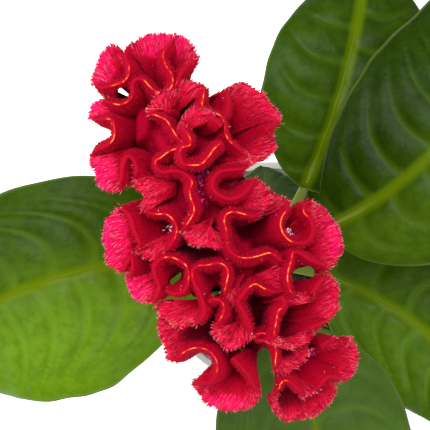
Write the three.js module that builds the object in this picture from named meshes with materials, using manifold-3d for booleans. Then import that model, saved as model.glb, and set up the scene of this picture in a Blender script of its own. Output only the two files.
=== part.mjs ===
// A potted crested cockscomb: a plain pot with soil, a stem that flattens into a fan,
// a ruffled velvet comb on the fan's edge, and broad leaves along the stem.
// Millimetres, +Z up, origin in the middle of the pot's flat base.

import * as THREE from 'three';
import { mergeVertices } from 'three/addons/utils/BufferGeometryUtils.js';
import Module from 'manifold-3d';

const wasm = await Module();
wasm.setup();

const GAP = 0.3;

// Pot
const POT_HEIGHT = 95;
const POT_BASE_RADIUS = 37;
const POT_BODY_TOP_RADIUS = 49;
const RIM_RADIUS = 52.5;
const RIM_HEIGHT = 15;
const POT_WALL = 2.6;
const POT_FLOOR = 4;
const DRAIN_HOLES = 5;
const DRAIN_HOLE_RADIUS = 4;
const DRAIN_CIRCLE_RADIUS = 22;
const POT_SEGMENTS = 36;

// Soil
const SOIL_TOP = 84;
const SOIL_LUMP = 1.6;
const SOIL_SEGMENTS = 30;
const STEM_HOLE_DEPTH = 24;

// Stem: it rises plumb out of the soil, bends over and flattens below the comb
const STEM_RADIUS = 5.2;
const STEM_SIDES = 14;
const STEM_ROUTE = [
  [0, 0, SOIL_TOP - STEM_HOLE_DEPTH + GAP],
  [0, 0, 92],
  [-0.5, 2, 130],
  [-2.5, 6, 165],
  [-5.5, 11, 200],
  [-11, 17, 232],
  [-17, 22, 262],
];
const FAN_START = 0.66;
const FAN_HALF_LENGTH = 33;
const FAN_HALF_THICKNESS = 5.6;
const FAN_CLEARANCE = 0.9;

// Comb: its plan is laid out in steps, as seen from an eye plumb above its middle
const EYE = new THREE.Vector3(-27, 28, 670);
const EYE_STEPS = 1219;
const PLAN_MIDDLE = 215;
const COMB_TOP = 331;
const COMB_BASE = STEM_ROUTE.at(-1)[2] + GAP;
const CORE_TOP = 299;
const CORE_SIDES = 28;
const CORE_FLUTE = 1.16;
const ROOT_HEIGHT = 293;
const SPINE_START = [160, 110];
const SPINE_END = [265, 355];
const COMB_HALF_LENGTH = 54;
const COMB_HALF_WIDTH = 30;
const END_DROP = 17;
const SIDE_DROP = 11;
const RIM_DROP = 3;
const RIBBON_STEP = 3.3;
const ROOT_SMOOTHING = 7.5;
const ROOT_PULL = 0.45;
const UPRIGHT_LEAN = 6;
const RIM_LEAN = 102;
const CREST = 1.9;
const FRINGE = 1.1;

// Up a ribbon's flank: share of the way, half thickness, and how far the relief stands out
const FLANKS = [[0, 0.4, 0], [0.42, 1.5, -0.25], [0.76, 1.8, 0.3], [1, 1.6, -0.35]];

// Clean-up of the joined skin
const SHORTEST_EDGE = 1.2;
const FLAT_FACE = 0.002;
const MOST_FOLD = 0.3;
const TOUCH = 0.02;
const PARTING = 0.08;

// Ridges of the comb: plan column and row of each point, and 1 where it curls over as a rim
const RIDGES = {
  north: {
    lift: -3,
    points: [
      [121, 46, 1], [112, 48, 1], [103, 57, 1], [98, 68, 1], [96, 79, 1], [101, 88, 0],
      [109, 87, 0], [116, 85, 0], [124, 82, 0], [129, 75, 0], [129, 66, 0], [126, 57, 0],
      [132, 46, 1], [143, 39, 1], [158, 35, 1], [170, 38, 1], [169, 47, 0], [163, 55, 0],
      [166, 66, 0], [172, 76, 0], [172, 86, 0], [165, 93, 0], [156, 92, 0], [149, 86, 0],
      [143, 80, 0], [135, 81, 0], [131, 88, 0], [131, 95, 0], [127, 102, 0], [120, 105, 0],
      [111, 103, 0], [102, 102, 1], [95, 108, 1], [93, 115, 1], [101, 120, 0], [109, 118, 0],
      [115, 129, 0],
    ],
  },
  northFan: {
    lift: -3,
    points: [
      [168, 38, 1], [182, 40, 1], [192, 49, 1], [196, 60, 1], [186, 68, 0], [178, 80, 0],
      [175, 88, 0],
    ],
  },
  west: {
    lift: -2,
    points: [
      [101, 120, 0], [112, 120, 0], [115, 129, 0], [114, 139, 0], [107, 146, 0], [97, 150, 0], [95, 160, 1],
      [99, 175, 1], [107, 187, 1], [117, 190, 1], [122, 178, 0], [124, 164, 0], [129, 156, 0],
      [135, 161, 0], [137, 170, 0], [137, 181, 1], [142, 190, 1], [148, 197, 1], [146, 205, 1],
      [150, 213, 0], [158, 214, 0], [166, 214, 0], [173, 219, 0], [177, 228, 0], [175, 238, 0],
      [170, 246, 0], [162, 254, 1], [152, 258, 1], [144, 251, 1], [139, 240, 0], [134, 228, 0],
      [131, 217, 0], [125, 210, 0], [117, 214, 1], [111, 224, 1], [109, 236, 1], [109, 248, 1],
      [112, 260, 1], [119, 269, 1], [126, 266, 0], [132, 257, 0], [133, 270, 0], [129, 279, 1],
      [132, 290, 1], [140, 298, 1], [150, 301, 1], [157, 296, 0], [160, 287, 0], [156, 277, 0],
      [155, 267, 0], [161, 259, 0], [170, 257, 0], [179, 260, 0], [187, 266, 0], [189, 275, 0],
      [188, 285, 0], [183, 292, 0], [174, 293, 0], [166, 289, 0],
    ],
  },
  southWest: {
    lift: -1,
    points: [
      [160, 303, 1], [163, 311, 1], [171, 319, 1], [182, 325, 1], [193, 323, 1], [201, 319, 0],
      [205, 311, 0], [203, 301, 0], [199, 291, 0], [194, 281, 0], [193, 271, 0], [198, 266, 0],
      [208, 265, 0], [219, 263, 0], [226, 267, 0], [228, 275, 0], [226, 286, 0], [227, 296, 1],
      [234, 302, 1], [241, 297, 0], [247, 289, 0], [255, 284, 0], [263, 288, 0], [272, 291, 0],
      [281, 288, 1], [285, 279, 1], [284, 268, 1], [279, 259, 0], [270, 253, 0], [258, 256, 0],
      [246, 258, 0], [236, 256, 0], [229, 249, 0], [226, 240, 0],
    ],
  },
  middle: {
    lift: 0,
    points: [
      [184, 143, 0], [178, 138, 0], [172, 129, 0], [166, 120, 0], [158, 116, 0], [151, 111, 1],
      [154, 103, 1], [163, 96, 1], [173, 90, 1], [184, 85, 1], [196, 87, 1], [206, 90, 0],
      [206, 98, 0], [204, 107, 0], [212, 111, 0], [220, 115, 0], [223, 123, 0], [225, 133, 0],
      [229, 141, 0], [237, 148, 0], [249, 161, 1], [241, 169, 0], [230, 170, 0], [220, 172, 0],
      [213, 180, 0], [213, 189, 0], [219, 195, 0], [229, 199, 0], [240, 196, 0], [248, 189, 0],
      [252, 183, 0], [259, 185, 1], [264, 193, 1], [265, 203, 1], [260, 211, 1], [252, 216, 0],
      [243, 214, 0], [233, 212, 0], [226, 215, 0], [224, 222, 0], [226, 230, 0], [227, 238, 0],
      [222, 243, 1], [212, 244, 1], [202, 244, 1], [193, 239, 1], [186, 232, 1], [186, 226, 0],
      [190, 220, 0], [194, 212, 0], [194, 206, 0], [191, 198, 0], [190, 190, 0], [192, 182, 0],
      [184, 173, 0], [174, 171, 0], [164, 172, 0], [157, 168, 0], [156, 161, 0], [161, 158, 0],
      [169, 152, 0], [177, 149, 0], [183, 147, 0], [189, 146, 0],
    ],
  },
  cup: {
    lift: 4,
    points: [
      [222, 142, 0], [214, 149, 0], [208, 157, 0], [201, 164, 0], [192, 165, 0], [184, 164, 0],
      [180, 156, 0], [182, 148, 0], [190, 145, 0], [190, 139, 0], [186, 132, 0], [183, 124, 1],
      [188, 115, 1], [198, 112, 1], [207, 115, 1], [215, 121, 0], [221, 127, 0],
    ],
  },
  northEast: {
    lift: -1,
    points: [
      [223, 118, 0], [224, 108, 0], [223, 96, 0], [228, 88, 1], [237, 85, 1], [248, 88, 1],
      [259, 95, 1], [268, 104, 1], [275, 113, 1], [278, 120, 1], [271, 126, 0], [266, 130, 0],
      [270, 138, 1], [270, 148, 1], [265, 156, 1], [255, 160, 1], [247, 159, 1], [240, 152, 0],
      [232, 146, 0],
    ],
  },
  east: {
    lift: 0,
    points: [
      [264, 189, 1], [274, 196, 1], [283, 200, 1], [287, 209, 0], [282, 216, 0], [280, 225, 0],
      [283, 234, 0], [290, 241, 0], [300, 243, 0], [309, 239, 0], [312, 230, 0], [309, 219, 0],
      [303, 212, 0], [304, 206, 0], [313, 205, 1], [323, 211, 1], [331, 221, 1], [335, 234, 1],
      [338, 247, 1], [336, 259, 1], [330, 267, 1], [320, 264, 0], [308, 259, 0], [299, 253, 0],
      [293, 252, 0], [291, 260, 0], [288, 270, 0], [287, 279, 0], [289, 289, 0], [296, 297, 1],
      [305, 298, 1], [313, 290, 0], [320, 280, 0], [327, 278, 1], [333, 285, 1], [335, 297, 1],
      [334, 309, 1], [328, 318, 1], [319, 323, 0], [311, 327, 0], [308, 337, 1], [299, 344, 1],
      [288, 347, 1], [278, 342, 1], [274, 332, 0], [276, 321, 0], [278, 311, 0], [284, 305, 0],
      [281, 296, 0],
    ],
  },
  southLobe: {
    lift: -4,
    points: [
      [252, 336, 0], [262, 333, 0], [270, 336, 0], [274, 343, 0], [276, 352, 0], [275, 362, 0],
      [279, 370, 1], [289, 369, 1], [297, 362, 1], [304, 354, 1], [305, 345, 0],
    ],
  },
  southEast: {
    lift: -6,
    points: [
      [276, 385, 0], [283, 380, 0], [291, 382, 0], [298, 389, 0], [305, 395, 1], [313, 391, 1],
      [320, 383, 0], [327, 376, 0], [335, 376, 0], [343, 380, 1], [350, 375, 1], [354, 364, 1],
      [354, 352, 1], [349, 341, 1], [341, 344, 0], [334, 340, 1], [327, 341, 0], [320, 346, 0],
    ],
  },
  southCup: {
    lift: -8,
    points: [
      [283, 380, 0], [277, 386, 0], [273, 395, 1], [270, 403, 1], [276, 411, 1], [288, 416, 1],
      [301, 415, 1], [314, 413, 1], [324, 405, 1], [331, 394, 1], [330, 384, 0], [326, 377, 0],
    ],
  },
  southMiddle: {
    lift: -1,
    points: [
      [208, 302, 0], [216, 299, 0], [223, 303, 0], [224, 311, 0], [220, 320, 0], [216, 328, 1],
      [219, 338, 1], [228, 344, 1], [239, 343, 1], [248, 336, 1], [250, 326, 0], [246, 316, 0],
      [240, 306, 0], [237, 299, 0],
    ],
  },
  south: {
    lift: -5,
    points: [
      [164, 308, 1], [162, 318, 1], [162, 330, 1], [165, 342, 1], [170, 353, 1], [177, 359, 0],
      [184, 352, 0], [193, 348, 0], [203, 348, 0], [211, 352, 0], [217, 361, 0], [217, 372, 0],
      [211, 381, 0], [202, 382, 0], [195, 384, 1], [199, 394, 1], [210, 402, 1], [224, 406, 1],
      [240, 407, 1], [252, 404, 1], [260, 397, 1], [256, 384, 0], [250, 374, 0], [241, 366, 0],
      [233, 357, 0],
    ],
  },
};

// Leaves: place on the stem, heading, turn and rise along the midrib, size, roll, how late the turn
// comes (1 is even), and how much wider the half to the left of the midrib is
const LEAF_THICKNESS = 0.75;
const LEAVES = [
  { at: 0.66, heading: 176, turn: 68, late: 1.6, rise: 34, fall: -30, petiole: 24, length: 149, width: 41,
    roll: -4, left: 0.12 },
  { at: 0.73, heading: 62, turn: 22, rise: 36, fall: -24, petiole: 27, length: 98, width: 33, roll: 6,
    left: -0.14 },
  { at: 0.8, heading: 17, turn: 76, rise: 30, fall: -18, petiole: 20, length: 156, width: 39, roll: -12 },
  { at: 0.59, heading: 351, turn: -68, rise: 24, fall: -26, petiole: 14, length: 122, width: 30.5, roll: 6 },
  { at: 0.69, heading: 284, turn: 2, rise: 26, fall: -30, petiole: 22, length: 118, width: 37, roll: 0,
    left: -0.06 },
  { at: 0.62, heading: 94, turn: 4, rise: 20, fall: -14, petiole: 13, length: 21, width: 16, roll: 0 },
  { at: 0.5, heading: 35, turn: 14, rise: 30, fall: -38, petiole: 16, length: 88, width: 28, roll: 0 },
  { at: 0.42, heading: 187, turn: -8, rise: 30, fall: -42, petiole: 16, length: 78, width: 22, roll: 0 },
  { at: 0.34, heading: 300, turn: 10, rise: 26, fall: -44, petiole: 14, length: 78, width: 24, roll: 0 },
  { at: 0.28, heading: 58, turn: -8, rise: 24, fall: -44, petiole: 12, length: 70, width: 22, roll: 0 },
  { at: 0.88, heading: 250, turn: 8, rise: 4, fall: -30, petiole: 6, length: 36, width: 10, roll: 0 },
];

const UP = new THREE.Vector3(0, 0, 1);

const POT_MATERIAL = new THREE.MeshStandardMaterial({ color: 0xe9e6df, roughness: 0.6, metalness: 0 });
const SOIL_MATERIAL = new THREE.MeshStandardMaterial({ color: 0x3a281c, roughness: 0.95, metalness: 0 });
const STEM_MATERIAL = new THREE.MeshStandardMaterial({ color: 0x8aa45a, roughness: 0.6, metalness: 0 });
const COMB_MATERIAL = new THREE.MeshStandardMaterial({ color: 0xc2122f, roughness: 0.8, metalness: 0 });
const LEAF_MATERIAL = new THREE.MeshStandardMaterial({ color: 0x47690f, roughness: 0.45, metalness: 0 });

function vector(values) {
  return new THREE.Vector3(values[0], values[1], values[2]);
}

function smoothstep(value) {
  const t = THREE.MathUtils.clamp(value, 0, 1);
  return t * t * (3 - 2 * t);
}

function meshGeometry(points, triangles) {
  const geometry = new THREE.BufferGeometry();
  const positions = points.flatMap((point) => [point.x, point.y, point.z]);
  geometry.setAttribute('position', new THREE.Float32BufferAttribute(positions, 3));
  geometry.setIndex(triangles);
  return geometry;
}

function toSolid(geometry) {
  const bare = geometry.clone();
  bare.deleteAttribute('normal');
  bare.deleteAttribute('uv');
  const merged = mergeVertices(bare, 1e-4);
  const vertProperties = new Float32Array(merged.attributes.position.array);
  const triVerts = new Uint32Array(merged.index.array);
  return new wasm.Manifold(new wasm.Mesh({ numProp: 3, vertProperties, triVerts }));
}

function toGeometry(solid) {
  const mesh = solid.getMesh();
  const geometry = new THREE.BufferGeometry();
  geometry.setAttribute('position', new THREE.BufferAttribute(mesh.vertProperties, 3));
  geometry.setIndex(new THREE.BufferAttribute(mesh.triVerts, 1));
  return geometry;
}

// One closed skin over rings of equal length; both end rings are closed by a fan on their middle
function loftRings(rings) {
  const count = rings[0].length;
  const points = rings.flat();
  const triangles = [];
  for (let i = 0; i + 1 < rings.length; i += 1) {
    for (let j = 0; j < count; j += 1) {
      const next = (j + 1) % count;
      const low = i * count;
      const high = low + count;
      triangles.push(low + j, low + next, high + next, low + j, high + next, high + j);
    }
  }
  const ends = [[rings[0], 0, false], [rings.at(-1), points.length - count, true]];
  for (const [ring, first, outward] of ends) {
    const middle = new THREE.Vector3();
    ring.forEach((point) => middle.addScaledVector(point, 1 / count));
    const hub = points.length;
    points.push(middle);
    for (let j = 0; j < count; j += 1) {
      const next = (j + 1) % count;
      const pair = outward ? [first + j, first + next] : [first + next, first + j];
      triangles.push(hub, ...pair);
    }
  }
  return meshGeometry(points, triangles);
}

function potGeometry() {
  const bodyTop = POT_HEIGHT - RIM_HEIGHT;
  const profile = [
    [0, 0],
    [POT_BASE_RADIUS - 1.5, 0],
    [POT_BASE_RADIUS, 1.5],
    [POT_BODY_TOP_RADIUS, bodyTop],
    [RIM_RADIUS - 0.8, bodyTop + 0.8],
    [RIM_RADIUS, POT_HEIGHT - 1.2],
    [RIM_RADIUS - 1.2, POT_HEIGHT],
    [RIM_RADIUS - POT_WALL, POT_HEIGHT],
    [RIM_RADIUS - POT_WALL - 0.6, bodyTop + 2.5],
    [POT_BODY_TOP_RADIUS - POT_WALL, bodyTop - 0.5],
    [POT_BASE_RADIUS - POT_WALL + 0.5, POT_FLOOR],
    [0, POT_FLOOR],
  ];
  const outline = profile.map(([radius, height]) => new THREE.Vector2(radius, height));
  const body = new THREE.LatheGeometry(outline, POT_SEGMENTS).rotateX(Math.PI / 2);
  let pot = toSolid(body);
  for (let i = 0; i < DRAIN_HOLES; i += 1) {
    const angle = (2 * Math.PI * i) / DRAIN_HOLES;
    const hole = new THREE.CylinderGeometry(DRAIN_HOLE_RADIUS, DRAIN_HOLE_RADIUS, 4 * POT_FLOOR, 12);
    hole.rotateX(Math.PI / 2);
    hole.translate(DRAIN_CIRCLE_RADIUS * Math.cos(angle), DRAIN_CIRCLE_RADIUS * Math.sin(angle), 0);
    pot = pot.subtract(toSolid(hole));
  }
  return toGeometry(pot);
}

function potInnerRadius(height) {
  const low = POT_BASE_RADIUS - POT_WALL + 0.5;
  const high = POT_BODY_TOP_RADIUS - POT_WALL;
  const share = (height - POT_FLOOR) / (POT_HEIGHT - RIM_HEIGHT - 0.5 - POT_FLOOR);
  return low + (high - low) * Math.min(1, share);
}

function soilGeometry() {
  const hole = STEM_RADIUS + GAP;
  const low = POT_FLOOR + GAP;
  const shoulder = POT_HEIGHT - RIM_HEIGHT - 1;
  const edge = potInnerRadius(shoulder) - GAP;
  const holeFloor = SOIL_TOP - STEM_HOLE_DEPTH;
  const ringRadii = [0.28, 0.5, 0.72, 0.9].map((share) => hole + share * (edge - hole));
  const profile = [
    [0, low],
    [potInnerRadius(low) - GAP, low],
    [edge, shoulder],
    [edge, SOIL_TOP - 2.5],
    ...ringRadii.toReversed().map((radius) => [radius, SOIL_TOP]),
    [hole, SOIL_TOP],
    [hole, holeFloor],
    [0, holeFloor],
  ];
  const outline = profile.map(([radius, height]) => new THREE.Vector2(radius, height));
  const geometry = new THREE.LatheGeometry(outline, SOIL_SEGMENTS).rotateX(Math.PI / 2);
  const positions = geometry.attributes.position;
  for (let i = 0; i < positions.count; i += 1) {
    const x = positions.getX(i);
    const y = positions.getY(i);
    const radius = Math.hypot(x, y);
    if (positions.getZ(i) > SOIL_TOP - 1 && radius > hole + 1) {
      const lump = Math.sin(0.55 * x + 1.3) * Math.cos(0.48 * y) + 0.6 * Math.sin(0.9 * y - 0.7 * x);
      positions.setZ(i, SOIL_TOP + SOIL_LUMP * lump * 0.6);
    }
  }
  return toGeometry(toSolid(geometry));
}

const stemCurve = new THREE.CatmullRomCurve3(STEM_ROUTE.map(vector), false, 'centripetal');

function planPoint(column, row, height) {
  const scale = (EYE.z - height) / EYE_STEPS;
  const x = EYE.x + (column - PLAN_MIDDLE) * scale;
  const y = EYE.y + (PLAN_MIDDLE - row) * scale;
  return new THREE.Vector3(x, y, height);
}

const spineStart = planPoint(...SPINE_START, ROOT_HEIGHT);
const spineEnd = planPoint(...SPINE_END, ROOT_HEIGHT);
const spineMiddle = spineStart.clone().lerp(spineEnd, 0.5);
const spineAlong = spineEnd.clone().sub(spineStart).normalize();
const spineAcross = new THREE.Vector3().crossVectors(UP, spineAlong);

// The stem's sections turn from round to a flat fan that lies along the comb's spine
function fanShare(share) {
  return smoothstep((share - FAN_START) / (1 - FAN_START)) ** 1.4;
}

function stemGeometry() {
  const rings = [];
  const shares = [0, 0.1, 0.2, 0.3, 0.4, 0.5, 0.6, 0.68, 0.75, 0.82, 0.88, 0.94, 1];
  for (const share of shares) {
    const centre = stemCurve.getPointAt(share);
    const fan = fanShare(share);
    const along = THREE.MathUtils.lerp(STEM_RADIUS, FAN_HALF_LENGTH, fan);
    const across = THREE.MathUtils.lerp(STEM_RADIUS, FAN_HALF_THICKNESS, fan);
    const ring = [];
    for (let j = 0; j < STEM_SIDES; j += 1) {
      const angle = (2 * Math.PI * j) / STEM_SIDES;
      const rib = j % 2 === 0 ? 1 : 0.93;
      const point = centre.clone();
      point.addScaledVector(spineAlong, along * Math.cos(angle) * rib);
      point.addScaledVector(spineAcross, across * Math.sin(angle) * rib);
      ring.push(point);
    }
    rings.push(ring);
  }
  return loftRings(rings);
}

// Solid heart of the comb: it widens from the fan to the floor of the comb's valleys
function coreGeometry() {
  const top = stemCurve.getPointAt(1);
  const levels = [
    { share: 0, along: FAN_HALF_LENGTH, across: FAN_HALF_THICKNESS },
    { share: 0.35, along: 39, across: 9 },
    { share: 0.7, along: 46, across: 13 },
    { share: 0.92, along: 48, across: 15 },
    { share: 1, along: 42, across: 11 },
  ];
  const rings = levels.map(({ share, along, across }) => {
    const centre = new THREE.Vector3(top.x, top.y, COMB_BASE);
    centre.lerp(spineMiddle, Math.min(1, 1.6 * share));
    centre.z = THREE.MathUtils.lerp(COMB_BASE, CORE_TOP, share);
    const ring = [];
    for (let j = 0; j < CORE_SIDES; j += 1) {
      const angle = (2 * Math.PI * j) / CORE_SIDES;
      const point = centre.clone();
      const flute = share > 0.2 && share < 1 && j % 2 === 0 ? CORE_FLUTE : 1;
      const drop = 9 * Math.cos(angle) ** 2 * share;
      point.addScaledVector(spineAlong, along * Math.cos(angle));
      point.addScaledVector(spineAcross, across * flute * Math.sin(angle));
      point.z -= share > 0.3 ? drop : 0;
      ring.push(point);
    }
    return ring;
  });
  return loftRings(rings);
}

function combHeight(point, rim, lift) {
  const offset = point.clone().sub(spineMiddle);
  const along = offset.dot(spineAlong) / COMB_HALF_LENGTH;
  const across = offset.dot(spineAcross) / COMB_HALF_WIDTH;
  return COMB_TOP + lift - END_DROP * along ** 2 - SIDE_DROP * across ** 2 - RIM_DROP * rim;
}

// Points of a ridge at even steps, each with its share of curl and its lifted height
function ridgeSteps({ lift, points }) {
  const marks = points.map(([column, row, rim]) => new THREE.Vector3(column, row, 40 * rim));
  const curve = new THREE.CatmullRomCurve3(marks, false, 'centripetal');
  const flat = new THREE.CatmullRomCurve3(marks.map((mark) => new THREE.Vector3(mark.x, mark.y, 0)));
  const stepSize = (RIBBON_STEP * EYE_STEPS) / (EYE.z - COMB_TOP);
  const count = Math.max(6, Math.round(flat.getLength() / stepSize));
  const steps = [];
  for (let i = 0; i <= count; i += 1) {
    const mark = curve.getPoint(flat.getUtoTmapping(i / count));
    const rim = THREE.MathUtils.clamp(mark.z / 40, 0, 1);
    const rough = planPoint(mark.x, mark.y, COMB_TOP);
    const ridge = planPoint(mark.x, mark.y, combHeight(rough, rim, lift));
    steps.push({ ridge, rim });
  }
  return steps;
}

// The ribbon's foot: the ridge's route, smoothed and drawn towards the spine
function rootPoints(steps) {
  return steps.map((step, index) => {
    const middle = new THREE.Vector3();
    let total = 0;
    steps.forEach((other, place) => {
      const distance = ((place - index) * RIBBON_STEP) / ROOT_SMOOTHING;
      const weight = Math.exp(-0.5 * distance ** 2);
      middle.addScaledVector(other.ridge, weight);
      total += weight;
    });
    middle.divideScalar(total);
    const along = middle.clone().sub(spineMiddle).dot(spineAlong);
    const reach = THREE.MathUtils.clamp(along, -COMB_HALF_LENGTH + 17, COMB_HALF_LENGTH - 17);
    const onSpine = spineMiddle.clone().addScaledVector(spineAlong, reach);
    const root = middle.lerp(onSpine, ROOT_PULL);
    root.z = ROOT_HEIGHT - 9 * (reach / COMB_HALF_LENGTH) ** 2;
    return root;
  });
}

function ribbonSections(route) {
  const steps = ridgeSteps(route);
  const roots = rootPoints(steps);
  return steps.map(({ ridge, rim }, index) => {
    const before = steps[Math.max(0, index - 1)].ridge;
    const after = steps[Math.min(steps.length - 1, index + 1)].ridge;
    const travel = after.clone().sub(before).setZ(0).normalize();
    const side = new THREE.Vector3().crossVectors(travel, UP);
    const root = roots[index];
    const outward = ridge.clone().sub(root).setZ(0).normalize();
    const curl = THREE.MathUtils.lerp(UPRIGHT_LEAN, RIM_LEAN, smoothstep(rim));
    const lean = THREE.MathUtils.degToRad(curl);
    const tip = UP.clone().multiplyScalar(Math.cos(lean)).addScaledVector(outward, Math.sin(lean));
    const reach = ridge.distanceTo(root);
    const rise = root.clone().addScaledVector(UP, 0.55 * (ridge.z - root.z));
    const approach = ridge.clone().addScaledVector(tip, -0.42 * reach);
    const profile = new THREE.CubicBezierCurve3(root, rise, approach, ridge);
    const tooth = index % 2 === 0 ? 1 : -1;
    const left = [];
    const right = [];
    for (const [share, half, relief] of FLANKS) {
      const centre = profile.getPoint(share);
      const slope = profile.getTangent(share);
      const normal = side.clone().addScaledVector(slope, -side.dot(slope)).normalize();
      const thickness = half + relief * tooth;
      left.push(centre.clone().addScaledVector(normal, -thickness));
      right.push(centre.clone().addScaledVector(normal, thickness));
    }
    const crest = ridge.clone().addScaledVector(tip, tooth > 0 ? CREST : CREST - FRINGE);
    return [...left, crest, ...right.toReversed()];
  });
}

// A closed piece of ribbon between two sections; neighbours share a section, so they join face to face
function ribbonPiece(first, second) {
  const count = first.length;
  const points = [...first, ...second];
  const triangles = [];
  for (let j = 0; j < count; j += 1) {
    const next = (j + 1) % count;
    triangles.push(j, next, count + next, j, count + next, count + j);
  }
  const rungs = (count - 1) / 2;
  for (let j = 0; j + 1 < rungs; j += 1) {
    const far = count - 1 - j;
    for (const [start, flip] of [[0, false], [count, true]]) {
      const ladder = [j, far, far - 1, j, far - 1, j + 1].map((corner) => corner + start);
      triangles.push(...(flip ? ladder.toReversed() : ladder));
    }
  }
  for (const [start, flip] of [[0, false], [count, true]]) {
    const cap = [rungs - 1, rungs + 1, rungs].map((corner) => corner + start);
    triangles.push(...(flip ? cap.toReversed() : cap));
  }
  return meshGeometry(points, triangles);
}

function joinAll(solids) {
  let pieces = solids;
  while (pieces.length > 1) {
    const joined = [];
    for (let i = 0; i < pieces.length; i += 2) {
      joined.push(i + 1 < pieces.length ? pieces[i].add(pieces[i + 1]) : pieces[i]);
    }
    pieces = joined;
  }
  return pieces[0];
}

function largestBody(solid) {
  const bodies = solid.decompose();
  bodies.sort((a, b) => b.volume() - a.volume());
  return bodies[0];
}

// Draws each edge under the given length in to its middle, where the skin stays closed and unfolded
function drawInShortEdges(geometry, shortest) {
  const { position } = geometry.attributes;
  const pointAt = (_, index) => new THREE.Vector3().fromBufferAttribute(position, index);
  const points = Array.from({ length: position.count }, pointAt);
  const faces = [];
  const facesAt = points.map(() => new Set());
  for (let i = 0; i < geometry.index.count; i += 3) {
    const face = [0, 1, 2].map((corner) => geometry.index.getX(i + corner));
    face.forEach((corner) => facesAt[corner].add(faces.length));
    faces.push(face);
  }
  const normalOf = (corners) => {
    const [a, b, c] = corners;
    return b.clone().sub(a).cross(c.clone().sub(a));
  };
  const neighbours = (point) => {
    const found = new Set([...facesAt[point]].flatMap((face) => faces[face]));
    found.delete(point);
    return found;
  };
  const drawIn = (kept, lost) => {
    const beside = neighbours(lost);
    const shared = [...neighbours(kept)].filter((point) => beside.has(point));
    if (shared.length !== 2) return false;
    const middle = points[kept].clone().lerp(points[lost], 0.5);
    const folds = [...facesAt[kept], ...facesAt[lost]].some((index) => {
      const face = faces[index];
      if (face.includes(kept) && face.includes(lost)) return false;
      const moved = (corner) => (corner === kept || corner === lost ? middle : points[corner]);
      const before = normalOf(face.map((corner) => points[corner]));
      const after = normalOf(face.map(moved));
      if (before.length() < FLAT_FACE) return false;
      return after.length() < FLAT_FACE || before.normalize().dot(after.normalize()) < MOST_FOLD;
    });
    if (folds) return false;
    points[kept].copy(middle);
    for (const index of [...facesAt[lost]]) {
      const face = faces[index];
      if (face.includes(kept)) {
        face.forEach((corner) => facesAt[corner].delete(index));
        faces[index] = null;
      } else {
        face[face.indexOf(lost)] = kept;
        facesAt[kept].add(index);
      }
    }
    facesAt[lost].clear();
    return true;
  };
  for (let length = 0.1 * shortest; length <= shortest; length += 0.15 * shortest) {
    faces.forEach((_, index) => {
      for (let corner = 0; corner < 3 && faces[index]; corner += 1) {
        const kept = faces[index][corner];
        const lost = faces[index][(corner + 1) % 3];
        if (points[kept].distanceTo(points[lost]) < length) drawIn(kept, lost);
      }
    });
  }
  return meshGeometry(points, faces.filter((face) => face).flat());
}

// Where two stretches of skin touch in a point, each point is drawn a little into its own body
function partTouchingSkin(geometry) {
  const parted = geometry.clone();
  parted.computeVertexNormals();
  const { position, normal } = parted.attributes;
  const places = new Map();
  for (const point of new Set(geometry.index.array)) {
    const place = [position.getX(point), position.getY(point), position.getZ(point)];
    const key = place.map((value) => Math.round(value / TOUCH)).join();
    places.set(key, [...(places.get(key) ?? []), point]);
  }
  for (const touching of places.values()) {
    for (const point of touching.length > 1 ? touching : []) {
      const place = new THREE.Vector3().fromBufferAttribute(position, point);
      const outward = new THREE.Vector3().fromBufferAttribute(normal, point);
      place.addScaledVector(outward, -PARTING);
      position.setXYZ(point, place.x, place.y, place.z);
    }
  }
  parted.deleteAttribute('normal');
  return parted;
}

function combGeometry() {
  const ribbons = Object.values(RIDGES).map((route) => {
    const sections = ribbonSections(route);
    const pieces = [];
    for (let i = 0; i + 1 < sections.length; i += 1) {
      const piece = toSolid(ribbonPiece(sections[i], sections[i + 1]));
      pieces.push(piece);
    }
    return joinAll(pieces);
  });
  const comb = joinAll([toSolid(coreGeometry()), ...ribbons]);
  const drawnIn = drawInShortEdges(toGeometry(largestBody(comb)), SHORTEST_EDGE);
  return partTouchingSkin(toGeometry(largestBody(toSolid(drawnIn))));
}

// Half width of a leaf blade: broadest at two fifths of its length and drawn out to a point
function bladeShape(share) {
  return 2.746 * share ** 0.6 * (1 - share) ** 0.9;
}

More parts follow.
